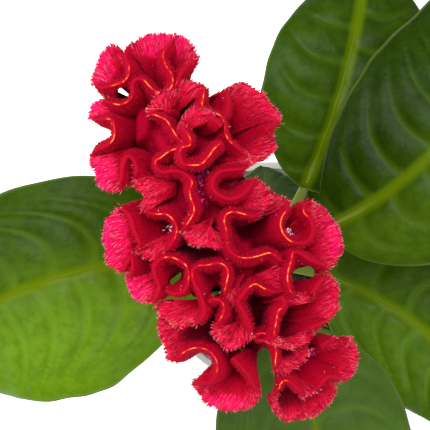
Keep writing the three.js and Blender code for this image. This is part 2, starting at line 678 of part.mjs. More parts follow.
function leafGeometry(leaf, index) {
  const large = leaf.length > 60;
  const stations = large ? 12 : 9;
  const half = large ? 3 : 2;
  const start = stemCurve.getPointAt(leaf.at);
  const fan = fanShare(leaf.at);
  const headingAngle = THREE.MathUtils.degToRad(leaf.heading);
  const heading = new THREE.Vector3(Math.cos(headingAngle), Math.sin(headingAngle), 0);
  const along = THREE.MathUtils.lerp(STEM_RADIUS, FAN_HALF_LENGTH, fan);
  const across = THREE.MathUtils.lerp(STEM_RADIUS, FAN_HALF_THICKNESS, fan);
  const reach = 1 / Math.hypot(heading.dot(spineAlong) / along, heading.dot(spineAcross) / across);
  const centre = start.clone().addScaledVector(heading, reach + GAP + FAN_CLEARANCE * fan);
  const total = leaf.petiole + leaf.length;
  const marks = [0, 0.5, 1].map((share) => share * leaf.petiole);
  for (let i = 1; i <= stations; i += 1) {
    marks.push(leaf.petiole + leaf.length * (i / stations) * (i === stations ? 0.995 : 1));
  }
  const top = [];
  const bottom = [];
  let travelled = 0;
  for (const mark of marks) {
    const pieces = 8;
    const stride = (mark - travelled) / pieces;
    let direction = heading;
    for (let i = 0; i < pieces; i += 1) {
      const share = (travelled + (i + 0.5) * stride) / total;
      const turn = THREE.MathUtils.degToRad(leaf.heading + leaf.turn * share ** (leaf.late ?? 1));
      const slope = THREE.MathUtils.lerp(leaf.rise, leaf.fall, smoothstep(1.1 * share));
      const tilt = THREE.MathUtils.degToRad(slope);
      direction = new THREE.Vector3(Math.cos(turn), Math.sin(turn), 0);
      direction.multiplyScalar(Math.cos(tilt)).setZ(Math.sin(tilt));
      centre.addScaledVector(direction, stride);
    }
    travelled = mark;
    const share = THREE.MathUtils.clamp((mark - leaf.petiole) / leaf.length, 0, 1);
    const level = new THREE.Vector3().crossVectors(UP, direction).normalize();
    const roll = THREE.MathUtils.degToRad(leaf.roll * smoothstep(3 * share));
    const side = level.applyAxisAngle(direction, roll);
    const lift = new THREE.Vector3().crossVectors(direction, side);
    const width = Math.max(1.5, leaf.width * bladeShape(share));
    const upper = [];
    const lower = [];
    for (let j = -half; j <= half; j += 1) {
      const place = j / half;
      const wave = 0.05 * leaf.width * Math.sin(9.5 * share + 1.7 * index + (place > 0 ? 2 : 0));
      const bow = 0.1 * width * Math.abs(place) - 0.2 * width * place ** 2;
      const height = (bow + wave * place ** 2) * smoothstep(6 * share);
      const rib = (1 - Math.abs(place)) ** 3 * THREE.MathUtils.lerp(2.2, 0.3, Math.sqrt(share));
      const breadth = width * place * (1 + (leaf.left ?? 0) * Math.sign(place));
      const point = centre.clone().addScaledVector(side, breadth).addScaledVector(lift, height);
      upper.push(point);
      lower.push(point.clone().addScaledVector(lift, -LEAF_THICKNESS - rib));
    }
    top.push(upper);
    bottom.push(lower);
  }
  const rings = top.map((upper, i) => [...upper, ...bottom[i].toReversed()]);
  return bladeSkin(rings);
}

// Skin of a leaf: rings of upper points and then lower ones, with both faces split alike
function bladeSkin(rings) {
  const count = rings[0].length;
  const wide = count / 2;
  const points = rings.flat();
  const triangles = [];
  for (let i = 0; i + 1 < rings.length; i += 1) {
    const low = i * count;
    const high = low + count;
    for (let j = 0; j < count; j += 1) {
      const next = (j + 1) % count;
      const under = j >= wide && j + 1 < count;
      if (under) {
        triangles.push(low + next, low + j, high + j, high + next, low + next, high + j);
      } else {
        triangles.push(low + next, low + j, high + next, high + next, low + j, high + j);
      }
    }
  }
  for (const [start, flip] of [[0, false], [points.length - count, true]]) {
    for (let j = 0; j + 1 < wide; j += 1) {
      const far = count - 1 - j;
      const ladder = [j, j + 1, far - 1, j, far - 1, far].map((corner) => corner + start);
      triangles.push(...(flip ? ladder.toReversed() : ladder));
    }
  }
  return meshGeometry(points, triangles);
}

function named(name, geometry, material) {
  const mesh = new THREE.Mesh(geometry, material);
  mesh.name = name;
  return mesh;
}

const group = new THREE.Group();
group.add(named('pot', potGeometry(), POT_MATERIAL));
group.add(named('soil', soilGeometry(), SOIL_MATERIAL));
group.add(named('stem', stemGeometry(), STEM_MATERIAL));
group.add(named('comb', combGeometry(), COMB_MATERIAL));
LEAVES.forEach((leaf, index) => {
  group.add(named(`leaf_${index + 1}`, leafGeometry(leaf, index), LEAF_MATERIAL));
});

export default group;
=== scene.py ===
"""Looks of a potted crested cockscomb: velvet comb, fluted stem, veined leaves, plain pot and soil.

The stem and the leaves follow the routes of their solids. The comb's ribbons lie close to theirs.
Sizes are millimetres up to the moment a mesh is made, and metres in the meshes.
"""

import math

import bpy
import numpy as np
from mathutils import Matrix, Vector


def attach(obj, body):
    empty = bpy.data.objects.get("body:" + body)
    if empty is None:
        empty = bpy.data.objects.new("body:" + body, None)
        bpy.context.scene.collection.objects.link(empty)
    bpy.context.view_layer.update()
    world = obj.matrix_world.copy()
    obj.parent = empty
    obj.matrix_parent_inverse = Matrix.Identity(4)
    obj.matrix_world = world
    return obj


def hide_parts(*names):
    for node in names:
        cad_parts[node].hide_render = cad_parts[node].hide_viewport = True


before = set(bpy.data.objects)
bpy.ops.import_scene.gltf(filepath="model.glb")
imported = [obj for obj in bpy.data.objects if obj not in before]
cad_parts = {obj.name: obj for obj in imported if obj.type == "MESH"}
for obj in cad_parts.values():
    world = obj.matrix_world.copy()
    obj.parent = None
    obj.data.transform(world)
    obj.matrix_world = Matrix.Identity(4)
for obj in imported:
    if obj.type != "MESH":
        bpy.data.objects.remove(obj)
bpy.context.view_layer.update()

MM = 0.001
GAP = 0.3
UP = np.array([0.0, 0.0, 1.0])

# Eye: plumb above the comb's middle, in a frame that is 430 pixels wide
FRAME_PIXELS = 430
PLAN_MIDDLE = FRAME_PIXELS / 2
EYE = np.array([-27.0, 28.0, 670.0])
EYE_STEPS = 1219.0
SENSOR_WIDTH = 36.0

# Pot and soil
POT_HEIGHT = 95.0
POT_BASE_RADIUS = 37.0
POT_BODY_TOP_RADIUS = 49.0
RIM_RADIUS = 52.5
RIM_HEIGHT = 15.0
POT_WALL = 2.6
POT_FLOOR = 4.0
DRAIN_HOLES = 5
DRAIN_HOLE_RADIUS = 4.0
DRAIN_CIRCLE_RADIUS = 22.0
SOIL_TOP = 84.0
STEM_HOLE_DEPTH = 24.0
POT_SIDES = 128
SOIL_RINGS = 34
SOIL_SIDES = 96
SOIL_SEED = 31
GRAIN_SHAPES = 4

# Stem
STEM_RADIUS = 5.2
STEM_ROUTE = [
    (0, 0, SOIL_TOP - STEM_HOLE_DEPTH + GAP), (0, 0, 92), (-0.5, 2, 130), (-2.5, 6, 165), (-5.5, 11, 200),
    (-11, 17, 232), (-17, 22, 262),
]
FAN_START = 0.66
FAN_HALF_LENGTH = 33.0
FAN_HALF_THICKNESS = 5.6
FAN_CLEARANCE = 0.9
STEM_RIBS = 7
STEM_CURVE_STEPS = 60
STEM_RINGS = 110
STEM_SIDES = 84

# Comb
COMB_TOP = 331.0
COMB_BASE = STEM_ROUTE[-1][2] + GAP
ROOT_HEIGHT = 293.0
ROOT_END_DROP = 9.0
ROOT_MARGIN = 17.0
SPINE_START = (160, 110)
SPINE_END = (265, 355)
COMB_HALF_LENGTH = 54.0
COMB_HALF_WIDTH = 30.0
END_DROP = 17.0
SIDE_DROP = 11.0
RIM_DROP = 3.0
RIM_WEIGHT = 40.0
ROOT_SMOOTHING = 7.5
ROOT_PULL = 0.56
UPRIGHT_LEAN = 6.0
RIM_LEAN = 102.0
RIBBON_STEP = 0.62
RIDGE_CURVE_STEPS = 24
LEAST_STEPS = 12
BEND_SMOOTHING = 1.2
BEND_FILL = 0.8
LEAST_BEND = 0.04
LEAST_LIMIT = 0.7
LIP_CREST = 0.9
RIM_CREST = 0.6
PLEAT = 2.6

# Shares of a ribbon's rise at which its skin has lines, and its half thickness, upright and curled over
RISE_SHARES = 1 - (1 - np.linspace(0, 1, 15)) ** 1.7
RISE_MARKS = [0, 0.35, 0.6, 0.8, 0.92, 0.975, 1]
UPRIGHT_HALF = [0.6, 2.5, 2.7, 2.3, 1.7, 1.1, 0.6]
RIM_HALF = [0.6, 1.6, 1.5, 1.2, 0.95, 0.75, 0.6]

# Lines of skin round the crest: how far each is turned from its middle, and which carry the flame line
CREST_TURNS = np.array([-1.2, -0.8, -0.5, -0.34, -0.2, 0.2, 0.34, 0.5, 0.8, 1.2])
ON_TOP = (np.abs(CREST_TURNS) < 0.3).astype(float)

# Body of the comb: how far it lies below its ridges and falls away from them, where it ends, its rings,
# and the depths over which its velvet changes
BODY_LIFT = -3.0
BODY_SINK = 2.4
DOME_SINK = 9.0
SHALLOW_SINK = 7.0
SHALLOW_LIFT = 0.72
SPOT_HEIGHT = 315.0
RIDGE_HALF = 0.9
VALLEY_DEPTH = 16.0
VALLEY_WIDTH = 5.2
HOLLOW_DEPTH = 6.0
BODY_HALF_LENGTH = 45.0
BODY_HALF_WIDTH = 15.0
BODY_SHIFT = -5.0
BODY_EDGE = 304.0
BODY_END_DROP = 8.0
BODY_MARKS = [0, 0.35, 0.7, 1]
BODY_ALONG = [FAN_HALF_LENGTH, 38, 43, BODY_HALF_LENGTH]
BODY_ACROSS = [FAN_HALF_THICKNESS, 8, 12, BODY_HALF_WIDTH]
BODY_SIDE_RINGS = 26
BODY_TOP_RINGS = 44
BODY_SIDES = 260
BODY_FLUTES = 26
WINDOW_REACH = 32.0
FLANK_DEPTH = 26.0
SIDE_DEPTH = 38.0

# How far a curled rim reaches out level before its edge, as a share of the ribbon's breadth
RIM_REACH = 0.38
SHORT_REACH = {"south_cup": 0.18, "south_lobe": 0.26, "cup": 0.3, "south_east": 0.34}

# Ridges of the comb: lift, then column, row and curl of each point
RIDGES = {
    "north": (-3, [
        (118, 46, 1), (110, 49, 1), (103, 57, 1), (98, 68, 1), (96, 79, 1), (101, 88, 0),
        (109, 87, 0), (116, 85, 0), (124, 82, 0), (129, 75, 0), (129, 66, 0), (126, 57, 0),
        (134, 45, 1), (144, 39, 1), (158, 35, 1), (170, 38, 1), (169, 47, 0), (163, 55, 0),
        (166, 66, 0), (172, 76, 0), (172, 86, 0), (165, 93, 0), (156, 92, 0), (149, 86, 0),
        (143, 80, 0), (135, 81, 0), (133, 88, 0), (133, 95, 0), (128, 102, 0), (120, 105, 0),
        (111, 103, 0), (102, 102, 1), (95, 108, 1), (93, 115, 1), (101, 120, 0), (109, 118, 0),
        (115, 129, 0),
    ]),
    "north_fan": (-3, [
        (168, 38, 1), (182, 40, 1), (192, 49, 1), (196, 60, 1), (186, 68, 0), (178, 80, 0),
        (175, 88, 0),
    ]),
    "west": (-2, [
        (101, 120, 0), (112, 120, 0), (115, 129, 0), (114, 139, 0), (107, 146, 0), (97, 150, 0),
        (95, 160, 1), (99, 175, 1), (107, 187, 1), (117, 190, 1), (122, 178, 0), (124, 164, 0),
        (129, 156, 0), (135, 161, 0), (137, 170, 0), (137, 181, 1), (142, 190, 1), (148, 197, 1),
        (146, 205, 1), (150, 213, 0), (158, 214, 0), (166, 214, 0), (173, 219, 0), (177, 228, 0),
        (175, 238, 0), (170, 246, 0), (162, 254, 1), (152, 258, 1), (144, 251, 1), (139, 240, 0),
        (134, 228, 0), (131, 217, 0), (125, 210, 0), (117, 214, 1), (111, 224, 1), (109, 236, 1),
        (109, 248, 1), (112, 260, 1), (119, 269, 1), (126, 266, 0), (132, 257, 0), (133, 270, 0),
        (129, 279, 1), (132, 290, 1), (140, 298, 1), (150, 301, 1), (157, 296, 0), (160, 287, 0),
        (156, 277, 0), (155, 267, 0), (161, 259, 0), (170, 257, 0), (179, 260, 0), (187, 266, 0),
        (189, 275, 0), (188, 285, 0), (183, 292, 0), (174, 293, 0), (166, 289, 0),
    ]),
    "south_west": (-1, [
        (160, 303, 1), (163, 311, 1), (171, 319, 1), (182, 325, 1), (193, 323, 1), (201, 319, 0),
        (205, 311, 0), (203, 301, 0), (199, 291, 0), (194, 281, 0), (193, 271, 0), (198, 266, 0),
        (208, 265, 0), (219, 263, 0), (226, 267, 0), (228, 275, 0), (226, 286, 0), (227, 296, 1),
        (234, 302, 1), (241, 297, 0), (247, 289, 0), (255, 284, 0), (263, 288, 0), (272, 291, 0),
        (281, 288, 1), (285, 279, 1), (284, 268, 1), (279, 259, 0), (270, 253, 0), (258, 256, 0),
        (246, 258, 0), (236, 256, 0), (229, 249, 0), (226, 240, 0),
    ]),
    "middle": (0, [
        (184, 143, 0), (178, 138, 0), (172, 129, 0), (166, 120, 0), (158, 116, 0), (151, 111, 1),
        (154, 103, 1), (163, 96, 1), (173, 90, 1), (184, 85, 1), (196, 87, 1), (204, 90, 0),
        (203, 98, 0), (202, 107, 0), (211, 112, 0), (220, 116, 0), (224, 123, 0), (225, 133, 0),
        (229, 141, 0), (237, 148, 0), (249, 161, 1), (241, 169, 0), (230, 170, 0), (220, 172, 0),
        (213, 180, 0), (213, 189, 0), (219, 195, 0), (229, 199, 0), (240, 196, 0), (248, 189, 0),
        (252, 183, 0), (259, 185, 1), (264, 193, 1), (265, 203, 1), (260, 211, 1), (252, 216, 0),
        (243, 214, 0), (233, 212, 0), (226, 215, 0), (224, 222, 0), (226, 230, 0), (227, 238, 0),
        (222, 243, 1), (212, 244, 1), (202, 244, 1), (193, 239, 1), (186, 232, 1), (186, 226, 0),
        (190, 220, 0), (194, 212, 0), (194, 206, 0), (191, 198, 0), (190, 190, 0), (192, 182, 0),
        (184, 173, 0), (174, 171, 0), (164, 172, 0), (157, 168, 0), (156, 161, 0), (161, 158, 0),
        (169, 152, 0), (177, 149, 0), (183, 147, 0), (189, 146, 0),
    ]),
    "cup": (4, [
        (222, 142, 0), (214, 149, 0), (208, 157, 0), (201, 164, 0), (192, 165, 0), (184, 164, 0),
        (180, 156, 0), (182, 148, 0), (190, 145, 0), (190, 139, 0), (186, 132, 0), (183, 124, 1),
        (188, 115, 1), (198, 112, 1), (207, 115, 1), (215, 121, 0), (221, 127, 0),
    ]),
    "north_east": (-1, [
        (224, 118, 0), (228, 108, 0), (228, 97, 0), (232, 88, 1), (239, 85, 1), (248, 88, 1),
        (259, 95, 1), (268, 104, 1), (275, 113, 1), (278, 120, 1), (271, 126, 0), (266, 130, 0),
        (270, 138, 1), (270, 148, 1), (265, 156, 1), (255, 160, 1), (247, 159, 1), (240, 152, 0),
        (232, 146, 0),
    ]),
    "east": (0, [
        (264, 189, 1), (274, 196, 1), (283, 200, 1), (287, 209, 0), (282, 216, 0), (280, 225, 0),
        (283, 234, 0), (290, 241, 0), (300, 243, 0), (309, 239, 0), (312, 230, 0), (309, 219, 0),
        (303, 212, 0), (304, 206, 0), (313, 205, 1), (323, 211, 1), (331, 221, 1), (335, 234, 1),
        (338, 247, 1), (336, 259, 1), (330, 267, 1), (320, 264, 0), (308, 259, 0), (299, 253, 0),
        (293, 252, 0), (291, 260, 0), (288, 270, 0), (287, 279, 0), (289, 289, 0), (296, 297, 1),
        (305, 298, 1), (313, 290, 0), (320, 280, 0), (327, 278, 1), (333, 285, 1), (335, 297, 1),
        (334, 309, 1), (328, 318, 1), (319, 323, 0), (311, 327, 0), (308, 337, 1), (299, 344, 1),
        (288, 347, 1), (278, 342, 1), (274, 332, 0), (276, 321, 0), (278, 311, 0), (284, 305, 0),
        (281, 296, 0),
    ]),
    "south_lobe": (-4, [
        (252, 336, 0), (262, 333, 0), (270, 336, 0), (274, 343, 0), (276, 352, 0), (275, 362, 0),
        (279, 370, 1), (289, 369, 1), (297, 362, 1), (304, 354, 1), (305, 345, 0),
    ]),
    "south_east": (-6, [
        (279, 385, 0), (284, 380, 0), (291, 382, 0), (298, 389, 0), (305, 395, 1), (313, 391, 1),
        (320, 383, 0), (327, 376, 0), (335, 376, 0), (343, 380, 1), (350, 375, 1), (354, 364, 1),
        (354, 352, 1), (349, 341, 1), (341, 344, 0), (334, 340, 1), (327, 341, 0), (320, 346, 0),
    ]),
    "south_cup": (-8, [
        (284, 380, 0), (279, 387, 0), (276, 396, 1), (273, 404, 1), (278, 411, 1), (288, 416, 1),
        (301, 415, 1), (314, 413, 1), (324, 405, 1), (331, 394, 1), (330, 384, 0), (326, 377, 0),
    ]),
    "south_middle": (-1, [
        (208, 302, 0), (216, 299, 0), (223, 303, 0), (224, 311, 0), (220, 320, 0), (216, 328, 1),
        (219, 338, 1), (228, 344, 1), (239, 343, 1), (248, 336, 1), (250, 326, 0), (246, 316, 0),
        (240, 306, 0), (237, 299, 0),
    ]),
    "south": (-5, [
        (164, 308, 1), (162, 318, 1), (162, 330, 1), (165, 342, 1), (170, 353, 1), (177, 359, 0),
        (184, 352, 0), (193, 348, 0), (203, 348, 0), (211, 352, 0), (217, 361, 0), (217, 372, 0),
        (211, 381, 0), (202, 382, 0), (195, 384, 1), (199, 394, 1), (210, 402, 1), (224, 406, 1),
        (240, 407, 1), (250, 404, 1), (256, 397, 1), (253, 384, 0), (248, 374, 0), (241, 366, 0),
        (233, 357, 0),
    ]),
}

# Windows that the folds leave open to the eye: middle, half sizes in pixels, and turn in degrees
WINDOWS = [
    ((124, 91), (8, 5.5), 0), ((266, 370), (9, 24), -6), ((304, 273), (11, 8.5), -8),
    ((217, 292), (6, 8), 20), ((175, 278), (5, 9), 40),
]

# Deep hollows between the folds, which sink the body further and whose velvet is darkened with painted shade:
# middle and half sizes in pixels
HOLLOWS = [
    ((195, 252), (25, 13)), ((203, 333), (24, 14)), ((254, 312), (10, 20)), ((291, 352), (11, 8)),
    ((286, 395), (16, 11)), ((250, 222), (18, 16)), ((293, 338), (12, 6)),
]

# Shallow hollows, whose floor lies higher than in the others
SHALLOWS = [
    ((203, 138), (13, 15)), ((130, 122), (24, 26)), ((236, 330), (12, 10)), ((318, 372), (16, 16)),
    ((202, 186), (10, 24)), ((166, 138), (12, 16)), ((146, 172), (10, 12)), ((183, 66), (8, 14)),
]

# Lobes with a painted magenta-pink sheen: middle and half sizes in pixels
PAINTED_SHEEN_SPOTS = [
    ((165, 46), (26, 14)), ((101, 70), (13, 28)), ((97, 112), (10, 12)), ((103, 168), (14, 26)),
    ((115, 238), (16, 30)), ((136, 287), (14, 16)), ((222, 402), (26, 7)), ((333, 235), (9, 22)),
]

# Where the bright flame line shows along the crests, as routes of column and row
FLAMES = [
    [(116, 85), (127, 80), (130, 70)], [(163, 57), (163, 61)], [(168, 66), (173, 78), (171, 86)],
    [(147, 84), (153, 90), (163, 94)], [(118, 104), (128, 100)], [(111, 118), (115, 128), (114, 140)],
    [(158, 116), (166, 120), (174, 132), (181, 139)], [(204, 94), (204, 108)], [(216, 113), (219, 115)],
    [(223, 125), (226, 137), (228, 141)], [(215, 147), (208, 157), (200, 164), (192, 165)],
    [(187, 135), (190, 145)], [(158, 160), (170, 151), (180, 147)],
    [(158, 214), (168, 214), (176, 222), (178, 235)], [(168, 255), (180, 260), (188, 267), (188, 280)],
    [(191, 182), (190, 193), (195, 210), (191, 222)], [(225, 226), (224, 216), (232, 213), (242, 214)],
    [(282, 215), (280, 227), (285, 237), (289, 240)], [(303, 212), (303, 215)],
    [(243, 258), (256, 256), (271, 253)], [(292, 253), (290, 264), (287, 272), (289, 288)],
    [(204, 265), (220, 264)], [(226, 266), (228, 277), (226, 287)], [(252, 284), (261, 288)],
    [(219, 300), (224, 308), (221, 318)], [(278, 310), (274, 318), (274, 330)], [(252, 338), (262, 333)],
    [(180, 352), (190, 347), (205, 347), (215, 355), (218, 368)], [(272, 345), (275, 362)],
    [(275, 385), (283, 380)],
]

# Bristles: how many to a square millimetre, their length and half width on the lips and on the curled
# rims, how far they stand off the flank in degrees, and how thick the fringe is
BRISTLE_DENSITY = 1.35
BRISTLE_LIP = (1.05, 0.11)
BRISTLE_RIM = (2.5, 0.15)
BRISTLE_STAND = (22.0, 5.0)
CROWN_STAND = 46.0
FRINGE_PER_MM = 8.0
TUFT_SPACING = 0.95
COMB_SEED = 11

# The pieces that the bristles are kept in, and the ribbons that each covers
BRISTLE_PIECES = {
    "north": ("north", "north_fan", "north_east", "cup"), "west": ("west", "south_west"),
    "middle": ("middle",), "east": ("east", "south_lobe", "south_east"),
    "south": ("south_cup", "south_middle", "south"),
}

# Florets: middle and radius in pixels, number and paleness of each patch, and those on the body's sides
FLORET_PATCHES = [
    ((203, 176), 11, 260, 0.12), ((201, 194), 11, 240, 0.2), ((310, 347), 7, 40, 0.2),
    ((168, 229), 6, 40, 0.8), ((291, 233), 6, 40, 0.7), ((211, 356), 8, 60, 0.4),
]
SIDE_FLORETS = 1500
SIDE_PALENESS = 0.12
FLOOR_WEIGHT = 4

# Leaves: place on the stem, heading, turn and rise along the midrib, petiole and blade size, roll, how
# late the turn comes (1 is even), how much wider the left half is, how light the painted light and shade
# make the right and left halves, and how much painted shade greys and darkens the whole leaf
LEAVES = [
    dict(at=0.66, heading=176, turn=68, late=1.6, rise=34, fall=-30, petiole=24, length=149, width=41,
         roll=-4, left=0.12, pale=(0.2, 1.0)),
    dict(at=0.73, heading=62, turn=22, rise=36, fall=-24, petiole=27, length=98, width=33, roll=6,
         left=-0.14, pale=(0.1, 0.12)),
    dict(at=0.8, heading=17, turn=76, rise=30, fall=-18, petiole=20, length=156, width=39, roll=-12,
         pale=(0.4, 0.0)),
    dict(at=0.59, heading=351, turn=-68, rise=24, fall=-26, petiole=14, length=122, width=30.5, roll=6,
         pale=(0.55, 0.27)),
    dict(at=0.69, heading=284, turn=2, rise=26, fall=-30, petiole=22, length=118, width=37, roll=0,
         left=-0.06, pale=(0.4, 0.5), dull=0.5),
    dict(at=0.62, heading=94, turn=4, rise=20, fall=-14, petiole=13, length=21, width=16, roll=0, dull=1.0),
    dict(at=0.5, heading=35, turn=14, rise=30, fall=-38, petiole=16, length=88, width=28, roll=0),
    dict(at=0.42, heading=187, turn=-8, rise=30, fall=-42, petiole=16, length=78, width=22, roll=0),
    dict(at=0.34, heading=300, turn=10, rise=26, fall=-44, petiole=14, length=78, width=24, roll=0),
    dict(at=0.28, heading=58, turn=-8, rise=24, fall=-44, petiole=12, length=70, width=22, roll=0),
    dict(at=0.88, heading=250, turn=8, rise=4, fall=-30, petiole=6, length=36, width=10, roll=0),
]
BLADE_THICKNESS = 0.6
EVEN_PAINTED_LIGHT = (0.2, 0.2)
VEIN_SPACING = 14.5
VEIN_SWEEP = (1.0, 2.2)
VEIN_BACK = 0.25

# Grids of the blades: steps across and along, for leaves longer than the limit and for the others
LARGE_LEAF = 60
LARGE_GRID = (44, 110)
SMALL_GRID = (20, 44)
MIDRIB_STEPS = 600
STALK_SIDES = 14
ROOT_DEPTH = 2.4

# Studio, in metres and watts: the floor, the room's light, and name, place, size and power of each lamp
FLOOR_SIZE = 60
ROOM_LIGHT = 0.3
LAMP_AIM = 0.28
LAMPS = [
    ("key_softbox", (-0.1, 0.45, 1.5), 0.9, 16.5),
    ("left_softbox", (-1.15, 0.0, 1.0), 1.0, 13.0),
    ("right_softbox", (1.0, -0.55, 1.1), 1.0, 12.0),
]


# Small helpers

def lerp(low, high, share):
    return low + (high - low) * share


def round_angles(count):
    """Even angles once round, from 0."""
    return np.linspace(0, 2 * math.pi, count, endpoint=False)


def smooth(value):
    share = np.clip(value, 0, 1)
    return share * share * (3 - 2 * share)


def unit(vectors):
    return vectors / np.maximum(np.linalg.norm(vectors, axis=-1, keepdims=True), 1e-9)


def ripple(points, wavelength, seed):
    """A smooth field between about -1 and 1, made of waves in seeded directions."""
    rng = np.random.default_rng(seed)
    total = 0
    for _ in range(7):
        direction = unit(rng.normal(size=3))
        stretch = rng.uniform(0.7, 1.4)
        total = total + np.sin(points @ direction * 2 * math.pi * stretch / wavelength + rng.uniform(0, 6.3))
    return total / 3.2


def catmull_rom(marks, per_span):
    """Points of a centripetal Catmull-Rom curve through the marks, per_span of them on each span."""
    marks = np.asarray(marks, float)
    padded = np.vstack([2 * marks[0] - marks[1], marks, 2 * marks[-1] - marks[-2]])
    before, start, end, after = padded[:-3], padded[1:-2], padded[2:-1], padded[3:]
    first, own, last = [
        np.linalg.norm(b - a, axis=1, keepdims=True) ** 0.5
        for a, b in ((before, start), (start, end), (end, after))
    ]
    leave = own * ((start - before) / first - (end - before) / (first + own) + (end - start) / own)
    arrive = own * ((end - start) / own - (after - start) / (own + last) + (after - end) / last)
    t = np.linspace(0, 1, per_span, endpoint=False)[None, :, None]
    start, end, leave, arrive = (a[:, None, :] for a in (start, end, leave, arrive))
    square = -3 * start + 3 * end - 2 * leave - arrive
    cube = 2 * start - 2 * end + leave + arrive
    points = start + leave * t + square * t ** 2 + cube * t ** 3
    return np.vstack([points.reshape(-1, marks.shape[1]), marks[-1]])


def resample(points, distances, wanted):
    return np.stack([np.interp(wanted, distances, column) for column in points.T], axis=1)


def travelled(points):
    strides = np.linalg.norm(np.diff(points, axis=0), axis=1)
    return np.concatenate([[0], np.cumsum(strides)])


# Meshes

def make_mesh(name, points, faces, **fields):
    """A smooth mesh object in metres; faces is one array or several, and fields are point attributes."""
    blocks = faces if isinstance(faces, list) else [faces]
    mesh = bpy.data.meshes.new(name)
    mesh.vertices.add(len(points))
    mesh.vertices.foreach_set("co", (np.asarray(points) * MM).astype(np.float32).ravel())
    sizes = np.concatenate([np.full(len(block), block.shape[1]) for block in blocks])
    mesh.loops.add(int(sizes.sum()))
    mesh.loops.foreach_set("vertex_index", np.concatenate([b.ravel() for b in blocks]).astype(np.int32))
    mesh.polygons.add(len(sizes))
    starts = np.concatenate([[0], np.cumsum(sizes)[:-1]])
    mesh.polygons.foreach_set("loop_start", starts.astype(np.int32))
    mesh.update(calc_edges=True)
    write_fields(mesh, **fields)
    mesh.shade_smooth()
    piece = bpy.data.objects.new(name, mesh)
    bpy.context.scene.collection.objects.link(piece)
    return piece


def write_fields(mesh, **fields):
    for field, values in fields.items():
        attribute = mesh.attributes.new(field, "FLOAT", "POINT")
        attribute.data.foreach_set("value", np.asarray(values, np.float32).ravel())


def loft(rings):
    """Quads of a closed skin over the rings, whose points run round; the ends are closed by ladders."""
    count, size = rings.shape[:2]
    low = (np.arange(count - 1) * size)[:, None]
    own = np.arange(size)[None, :]
    nxt = (own + 1) % size
    skin = np.stack([low + own, low + nxt, low + size + nxt, low + size + own], axis=2).reshape(-1, 4)
    near = np.arange(size // 2 - 1)
    far = size - 1 - near
    ladder = np.stack([near, far, far - 1, near + 1], axis=1)
    return np.vstack([skin, ladder, ladder[:, ::-1] + (count - 1) * size])


def clear_selection():
    bpy.ops.object.select_all(action="DESELECT")


def take_template(piece):
    """Points and triangles of a modelled object, which is then removed."""
    piece.data.calc_loop_triangles()
    points = np.array([v.co for v in piece.data.vertices])
    faces = np.array([t.vertices for t in piece.data.loop_triangles])
    bpy.data.objects.remove(piece)
    return points, faces


def copies(template, places, axes):
    """Points and triangles of a copy of the template at each place, stretched to each three axes."""
    shape, triangles = template
    points = places[:, None, :] + np.einsum("vk,nkj->nvj", shape, axes)
    offsets = (np.arange(len(places)) * len(shape))[:, None, None]
    return points.reshape(-1, 3), (triangles[None] + offsets).reshape(-1, 3)


def frames_along(directions, rng):
    """Two unit vectors square to each direction, turned at random round it."""
    spare = unit(rng.normal(size=directions.shape))
    first = unit(np.cross(directions, spare))
    return first, np.cross(directions, first)


def spindle_template(sides, widest):
    """A slim spindle of unit height with both ends pointed, widest at the given share of its height."""
    clear_selection()
    bpy.ops.mesh.primitive_cone_add(
        vertices=sides, radius1=1, radius2=0, depth=1 - widest, end_fill_type="NOTHING",
        location=(0, 0, (1 + widest) / 2))
    piece = bpy.context.object
    bpy.ops.object.transform_apply(location=True)
    bpy.ops.object.mode_set(mode="EDIT")
    bpy.ops.mesh.select_all(action="DESELECT")
    bpy.ops.object.mode_set(mode="OBJECT")
    for vertex in piece.data.vertices:
        vertex.select = vertex.co.z < widest + 0.01
    for edge in piece.data.edges:
        edge.select = all(piece.data.vertices[i].select for i in edge.vertices)
    bpy.ops.object.mode_set(mode="EDIT")
    bpy.ops.mesh.extrude_region_move(TRANSFORM_OT_translate={"value": (0, 0, -widest)})
    bpy.ops.mesh.merge(type="CENTER")
    bpy.ops.mesh.select_all(action="SELECT")
    bpy.ops.mesh.normals_make_consistent(inside=False)
    bpy.ops.object.mode_set(mode="OBJECT")
    return take_template(piece)


def grain_template(seed, roughness):
    """A small lump: an icosphere with its points shaken."""
    clear_selection()
    bpy.ops.mesh.primitive_ico_sphere_add(subdivisions=1, radius=1)
    piece = bpy.context.object
    bpy.ops.object.mode_set(mode="EDIT")
    bpy.ops.mesh.select_all(action="SELECT")
    bpy.ops.transform.vertex_random(offset=roughness, uniform=1, normal=0, seed=seed)
    bpy.ops.object.mode_set(mode="OBJECT")
    return take_template(piece)


def turned(name, profile, sides):
    """A body turned on the pot's axis: a filled circle, extruded and resized along the profile."""
    clear_selection()
    radius, height = profile[0]
    bpy.ops.mesh.primitive_circle_add(
        vertices=sides, radius=radius * MM, fill_type="NGON", location=(0, 0, height * MM))
    piece = bpy.context.object
    piece.name = name
    bpy.ops.object.transform_apply(location=True)
    bpy.ops.object.mode_set(mode="EDIT")
    for new_radius, new_height in profile[1:]:
        rise = (0, 0, (new_height - height) * MM)
        bpy.ops.mesh.extrude_region_move(TRANSFORM_OT_translate={"value": rise})
        stretch = new_radius / radius
        bpy.ops.transform.resize(value=(stretch, stretch, 1), center_override=(0, 0, new_height * MM))
        radius, height = new_radius, new_height
    bpy.ops.mesh.select_all(action="SELECT")
    bpy.ops.mesh.normals_make_consistent(inside=False)
    bpy.ops.object.mode_set(mode="OBJECT")
    return piece


def apply_modifier(piece, kind, **settings):
    clear_selection()
    piece.select_set(True)
    bpy.context.view_layer.objects.active = piece
    modifier = piece.modifiers.new(kind.lower(), kind)
    for setting, value in settings.items():
        setattr(modifier, setting, value)
    bpy.ops.object.modifier_apply(modifier=modifier.name)


def smooth_by_angle(piece, degrees):
    clear_selection()
    piece.select_set(True)
    bpy.context.view_layer.objects.active = piece
    bpy.ops.object.shade_smooth_by_angle(angle=math.radians(degrees))


# Shader maths

